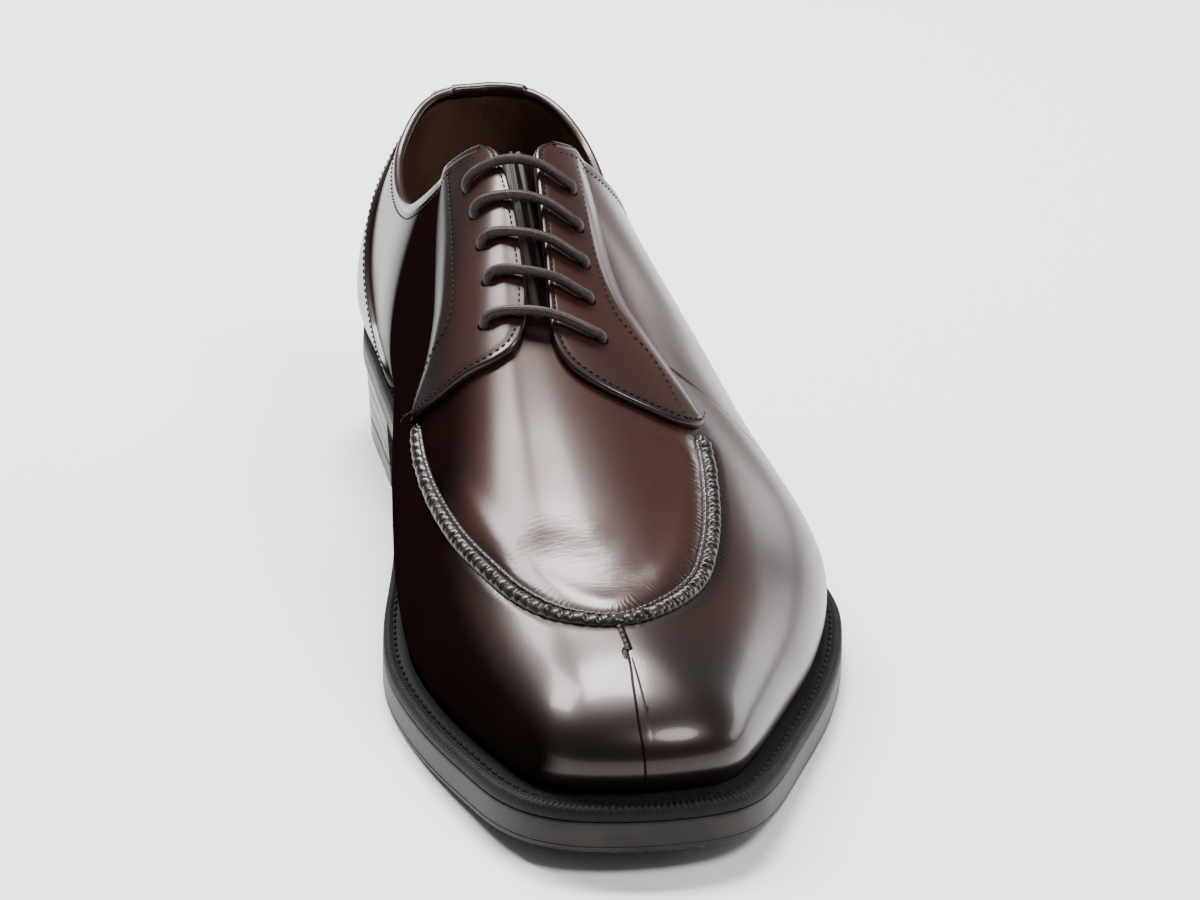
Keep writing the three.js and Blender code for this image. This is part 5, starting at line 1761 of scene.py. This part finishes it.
@dataclass
class Sole:
    """Welt, outsole, heel and insole."""

    last: Last
    breast: float = 77.0
    taper: float = 1.6
    top_piece: float = 6.0
    insole: float = 2.7
    edge: float = 0.8
    wheel: float = 1.45

    def _ring(self, growth: Array, count: int) -> Array:
        """A closed ring of plan points from the toe down the inner side and back."""
        both = self.last.halves(growth)
        picks = np.linspace(0, self.last.samples, count // 2 + 1).astype(int)
        return np.vstack([both[0][picks], both[1][picks][-2:0:-1]])

    def _layers(self, name: str, rows: list[tuple[Array, Array]], **says: object) -> Piece:
        """A closed stack of rings, each a growth and a height over the plan."""
        count = 1040
        rings = []
        for growth, height in rows:
            plan = self._ring(growth, count)
            rings.append(place(plan[:, 0], plan[:, 1], height(plan[:, 1])))
        faces = np.vstack(
            [
                ring_faces(len(rings), count),
                cap_faces(count, 0)[:, ::-1],
                cap_faces(count, (len(rings) - 1) * count),
            ]
        )
        return Piece(name, np.vstack(rings), faces, **says)

    def build_outsole(self) -> bpy.types.Object:
        """Rings up the edge: rounded under, a fine line above it, a flat waxed edge, a round top.

        A ring is the outline drawn in by an inset, at a height over the underside or the top.
        """
        last = self.last
        ones = np.ones(len(last.outline))

        def level(inset: float, share: float, more: float) -> tuple[Array, object]:
            """A ring at a share of the thickness and a distance more."""
            def height(along: Array) -> Array:
                """Height of the ring."""
                return lerp(last.sole_bottom(along), last.sole_top(along), share) + more
            return -inset * ones, height

        rows = [
            level(2.6, 0, 0.03), level(1.4, 0, 0), level(0.8, 0, 0.0), level(0.4, 0, 0.12),
            level(0.12, 0, 0.45), level(0.02, 0, 0.9), level(0.0, 0, 1.35), level(0.16, 0, 1.45),
            level(0.16, 0, 1.6), level(0.0, 0, 1.7), level(-0.02, 0.35, 0.2),
            level(-0.03, 0.6, 0), level(0.0, 1, -0.7), level(0.05, 1, -0.25),
            level(0.2, 1, -0.03), level(0.9, 1, 0),
        ]
        piece = self._layers(
            "outsole_leather", rows, replaces=("outsole",), slot="sole_leather",
            materials=(Finish.SOLE.material(),),
        )
        return piece.build()

    def build_insole(self) -> bpy.types.Object:
        """A thin cushion inside the feather line, its top rounded at the edge."""
        last = self.last
        ledge = last.ledge(last.outline[:, 1])

        def level(inset: float, up: float) -> tuple[Array, object]:
            """A ring an inset inside the upper's wall."""
            return -(ledge + last.wall + GAP + inset), lambda along: last.sole_top(along) + up

        rows = [
            level(0, GAP), level(0, GAP + self.insole * 0.7), level(0.5, GAP + self.insole),
            level(2.0, GAP + self.insole + 0.25), level(8.0, GAP + self.insole + 0.3),
        ]
        piece = self._layers(
            "insole_sock", rows, replaces=("insole",), slot="lining",
            materials=(Finish.SOCK.material(),),
        )
        return piece.build()

    def build_welt(self) -> bpy.types.Object:
        """A band round the ledge: a profile from the upper out to the wheeled edge.

        Around the shoe the rim's height goes up and down with |cos| at the wheel's pitch.
        """
        last = self.last
        count = 4800
        run = np.vstack([last.outline, last.outline[:1]])
        out = np.vstack([last.outward, last.outward[:1]])
        measure = lengths(run)
        at = np.linspace(0, measure[-1], count, endpoint=False)
        plan, out = read_run(run, measure, at), unit(read_run(out, measure, at))
        ledge = last.ledge(plan[:, 1])
        ticks = np.round(measure[-1] / self.wheel)
        notch = np.abs(np.cos(np.pi * at / measure[-1] * ticks)) ** 0.7
        rim = np.array(
            [
                (1.0, -2.6, 0), (1.0, -0.02, 0), (0.86, 0.02, 0), (0.62, 0, 0), (0.5, -0.22, 0),
                (0.38, -0.22, 0), (0.3, 0.05, 0), (0.27, -0.05, 0.55), (0.2, 0.22, 1.0),
                (0.1, 0.28, 1.0), (0.0, 0.1, 1.0), (-0.07, -0.35, 0.5), (-0.11, -0.9, 0.15),
                (-0.12, -1.6, 0), (-0.12, -2.7, 0), (-0.08, -2.95, 0), (0.12, -3.05, 0),
            ]
        )
        inner = ledge - GAP
        outer = np.full(count, self.edge)
        rings = []
        top = last.sole_top(plan[:, 1]) + last.welt
        for share, up, bite in rim:
            inset = lerp(outer, inner, share) if share > 0 else outer + share * 6
            ring = plan - out * inset[:, None]
            dip = bite * 0.42 * (1 - notch)
            height = top + up - dip
            rings.append(place(ring[:, 0], ring[:, 1], np.maximum(height, top - last.welt + 0.04)))
        size = len(rings)
        points = np.stack(rings, 1).reshape(-1, 3)
        a = np.arange(count)[:, None] * size + np.arange(size)[None]
        b = np.arange(count)[:, None] * size + (np.arange(size)[None] + 1) % size
        c = (a + size) % (count * size)
        d = (b + size) % (count * size)
        faces = np.stack([a, b, d, c], -1).reshape(-1, 4)
        piece = Piece(
            "welt_wheeled", points, faces, ("welt",), "welt_leather",
            (Finish.WELT.material(),), sharp_degrees=60,
        )
        return piece.build()

    def welt_line(self, share: float, lift: float) -> tuple[Array, Array]:
        """A line on the welt at a share of the ledge from the edge, with its ups."""
        last = self.last
        ledge = last.ledge(last.outline[:, 1])
        plan = last.grown(-lerp(self.edge, ledge - GAP, share))
        plan = np.vstack([plan, plan[:1]])
        path = place(plan[:, 0], plan[:, 1], last.sole_top(plan[:, 1]) + last.welt + lift)
        return path, np.tile((0.0, 0.0, 1.0), (len(path), 1))

    def _heel_ring(self, growth: float) -> Array:
        """Plan of a heel layer: round the back, then along the hollow breast line."""
        moved = self.last.grown(np.full(len(self.last.outline), growth))
        heel = np.argmin(moved[:, 1])
        moved = np.roll(moved, -heel, 0)
        hollow = 0.035 * self.last.ball_width
        reach = 0.5 * self.last.ball_width

        def front(x: Array) -> Array:
            """Breast line: hollow in its middle."""
            return self.breast - hollow * (1 - (x / reach) ** 2)

        inner_end = np.argmax(moved[:, 1] > front(moved[:, 0]))
        back = moved[::-1]
        outer_end = np.argmax(back[:, 1] > front(back[:, 0]))
        inner = even(moved[:inner_end], 150)
        outer = even(np.vstack([moved[:1], back[:outer_end]]), 150)
        x = np.linspace(inner[-1, 0], outer[-1, 0], 102)[1:-1]
        breast = np.stack([x, front(x)], -1)
        return np.vstack([inner, breast, outer[:0:-1]])

    def build_heel(self) -> None:
        """Two stacks of layers: the rubber top piece and the leather lifts with fine joints."""
        last = self.last

        def stack(name: str, node: str, low: object, high: object, joints: int, **says: object):
            """Rings from the low face to the high face, drawn in at each joint of the lifts."""
            rows = [(0.0, 0.75), (0.012, 0.25), (0.04, 0.0)]
            for k in range(1, joints):
                middle = k / joints
                rows += [(middle - 0.02, 0.0), (middle, 0.22), (middle + 0.02, 0.0)]
            rows += [(0.97, 0.0), (0.99, 0.15), (1.0, 0.6)]
            rings = []
            for share, inset in rows:
                height = lerp(float(low(0.0)), float(high(0.0)), share)
                drawn = self.edge + self.taper * (last.heel_height - height) / last.heel_height
                plan = self._heel_ring(-drawn - inset)
                level = lerp(low(plan[:, 1]), high(plan[:, 1]), share)
                rings.append(place(plan[:, 0], plan[:, 1], level))
            size = len(rings[0])
            faces = np.vstack(
                [
                    ring_faces(len(rings), size),
                    cap_faces(size, 0)[:, ::-1],
                    cap_faces(size, (len(rings) - 1) * size),
                ]
            )
            Piece(name, np.vstack(rings), faces, (node,), **says).build()

        stack(
            "heel_top_rubber", "heel_top_piece", lambda s: 0 * s, lambda s: 0 * s + self.top_piece,
            1, slot="heel_rubber", materials=(Finish.RUBBER.material(),),
        )
        stack(
            "heel_lifts", "heel_stack", lambda s: 0 * s + self.top_piece + GAP,
            lambda s: last.sole_bottom(s) - GAP, 3, slot="heel_leather",
            materials=(Finish.HEEL.material(),),
        )


@dataclass
class Studio:
    """Pale floor, soft lights and the camera at the photograph's angle."""

    position: tuple[float, float, float] = (-0.1835, -1.0909, 0.4291)
    forward: tuple[float, float, float] = (0.1267, 0.9190, -0.3733)
    right: tuple[float, float, float] = (0.99063, -0.13656, 0.0)
    roll_degrees: float = 0.32
    lens: float = 130.0
    sensor: float = 36.0
    focal_pixels: float = 3792.0
    aim: tuple[float, float] = (206.0, -27.0)  # right and down of the photograph's middle

    def build(self) -> None:
        """Makes the floor, the world, the lights and the camera."""
        self._camera()
        self._floor()
        self._world()
        self._lights()

    def _camera(self) -> None:
        """Keeps the photograph's viewpoint and turns a little to centre the one shoe."""
        ahead = np.array(self.forward) / np.linalg.norm(self.forward)
        level = np.array(self.right) / np.linalg.norm(self.right)
        upward = np.cross(level, ahead)
        turn = math.radians(self.roll_degrees)
        right = math.cos(turn) * level + math.sin(turn) * upward
        up = math.cos(turn) * upward - math.sin(turn) * level
        view = unit(ahead + (right * self.aim[0] - up * self.aim[1]) / self.focal_pixels)
        right = unit(right - view * (right @ view))
        up = np.cross(right, view)
        data = bpy.data.cameras.new("camera")
        data.lens = self.lens
        data.sensor_width = self.sensor
        data.clip_start, data.clip_end = 0.05, 60
        bpy.context.scene.camera = self._stand(data, (right, up, -view), self.position)

    @staticmethod
    def _stand(
        data: bpy.types.ID, axes: tuple[Array, ...], where: tuple[float, ...]
    ) -> bpy.types.Object:
        """Puts a camera or a lamp in its place. Its axes are right, up and back."""
        made = bpy.data.objects.new(data.name, data)
        matrix = np.eye(4)
        matrix[:3, :3] = np.stack(axes, 1)
        matrix[:3, 3] = where
        made.matrix_world = Matrix(matrix.tolist())
        bpy.context.scene.collection.objects.link(made)
        return made

    def _floor(self) -> None:
        """A wide pale floor with a faint mottle."""
        half = 12.0
        mesh = bpy.data.meshes.new("floor")
        corners = [(-half, -half, 0), (half, -half, 0), (half, half, 0), (-half, half, 0)]
        mesh.from_pydata(corners, [], [(0, 1, 2, 3)])
        floor = bpy.data.objects.new("floor", mesh)
        bpy.context.scene.collection.objects.link(floor)
        g = Graph("pale_floor")
        tone = g.mix(g.noise(g.place(), 3, 2), (0.86, 0.86, 0.855), (0.89, 0.89, 0.885))
        g.set(Base_Color=tone, Roughness=0.5)
        mesh.materials.append(g.material)

    def _world(self) -> None:
        """An even pale surround."""
        world = bpy.data.worlds.new("surround")
        world.use_nodes = True
        back = world.node_tree.nodes["Background"]
        back.inputs["Color"].default_value = (0.95, 0.96, 1.0, 1.0)
        back.inputs["Strength"].default_value = 0.25
        bpy.context.scene.world = world

    def _lights(self) -> None:
        """Soft boxes: each is placed, aimed at the shoe and given its size and power."""
        target = np.array((0.0, -0.12, 0.05))
        for name, where, size, power in (
            ("box_toe", (0.04, 0.6, 1.5), (0.62, 0.5), 56.0),
            ("box_apron", (-0.6, 0.58, 1.32), (0.5, 0.5), 30.0),
            ("box_front", (0.62, -0.86, 1.36), (0.62, 0.62), 22.0),
            ("box_right", (1.25, 0.35, 0.32), (1.3, 0.35), 8.0),
        ):
            data = bpy.data.lights.new(name, "AREA")
            data.shape = "ELLIPSE" if name == "box_front" else "RECTANGLE"
            data.size, data.size_y = size
            data.energy = power
            back = unit(np.array(where) - target)
            right = unit(np.cross((0.0, 0.0, 1.0), back))
            self._stand(data, (right, np.cross(back, right), back), where)


def main() -> None:
    """Builds the shoe piece by piece, then its stitches and its studio."""
    logging.basicConfig(level=logging.INFO, format="%(name)s %(message)s")
    Studio().build()
    last = Last()
    seam = ApronSeam(last)
    seam.build()
    ToeSeam(last).build()
    upper = UpperShell(last, seam)
    upper.build()
    lacing = Lacing(last)
    facings = (Facing(last, upper, -1, lacing), Facing(last, upper, 1, lacing))
    for facing in facings:
        facing.build()
    lacing.build()
    Tongue(last).build()
    counter = Counter(last, upper)
    counter.build()
    collar = CollarRoll(last, facings)
    collar.build()
    sole = Sole(last)
    sole.build_outsole()
    sole.build_insole()
    sole.build_welt()
    sole.build_heel()
    thread = Finish.THREAD.material()
    sewing = Stitches("upper_stitches", thread, "seam_leather")
    for facing, rows in zip(facings, (INNER_SEWING, OUTER_SEWING)):
        edge = np.minimum(STITCH_INSET / facing.widths(), 0.45)
        sewing.add(*facing.line(edge, FACING_TOP), 1.8, FACING_STITCH)
        sewing.add(*facing.drape(rows, 0.04), 1.95, FACING_STITCH)
    for sign in (-1, 1):
        sewing.add(*counter.edge(sign, 2.0), 2.0, COUNTER_STITCH)
    sewing.add(*collar.stitch_line(2.9, 0.02), 2.0, COLLAR_STITCH)
    sewing.build()
    welt_sewing = Stitches("welt_stitches", thread, "welt_leather")
    welt_sewing.add(*sole.welt_line(0.44, 0.0), 3.3, WELT_STITCH)
    welt_sewing.build()


if __name__ == "__main__":
    main()
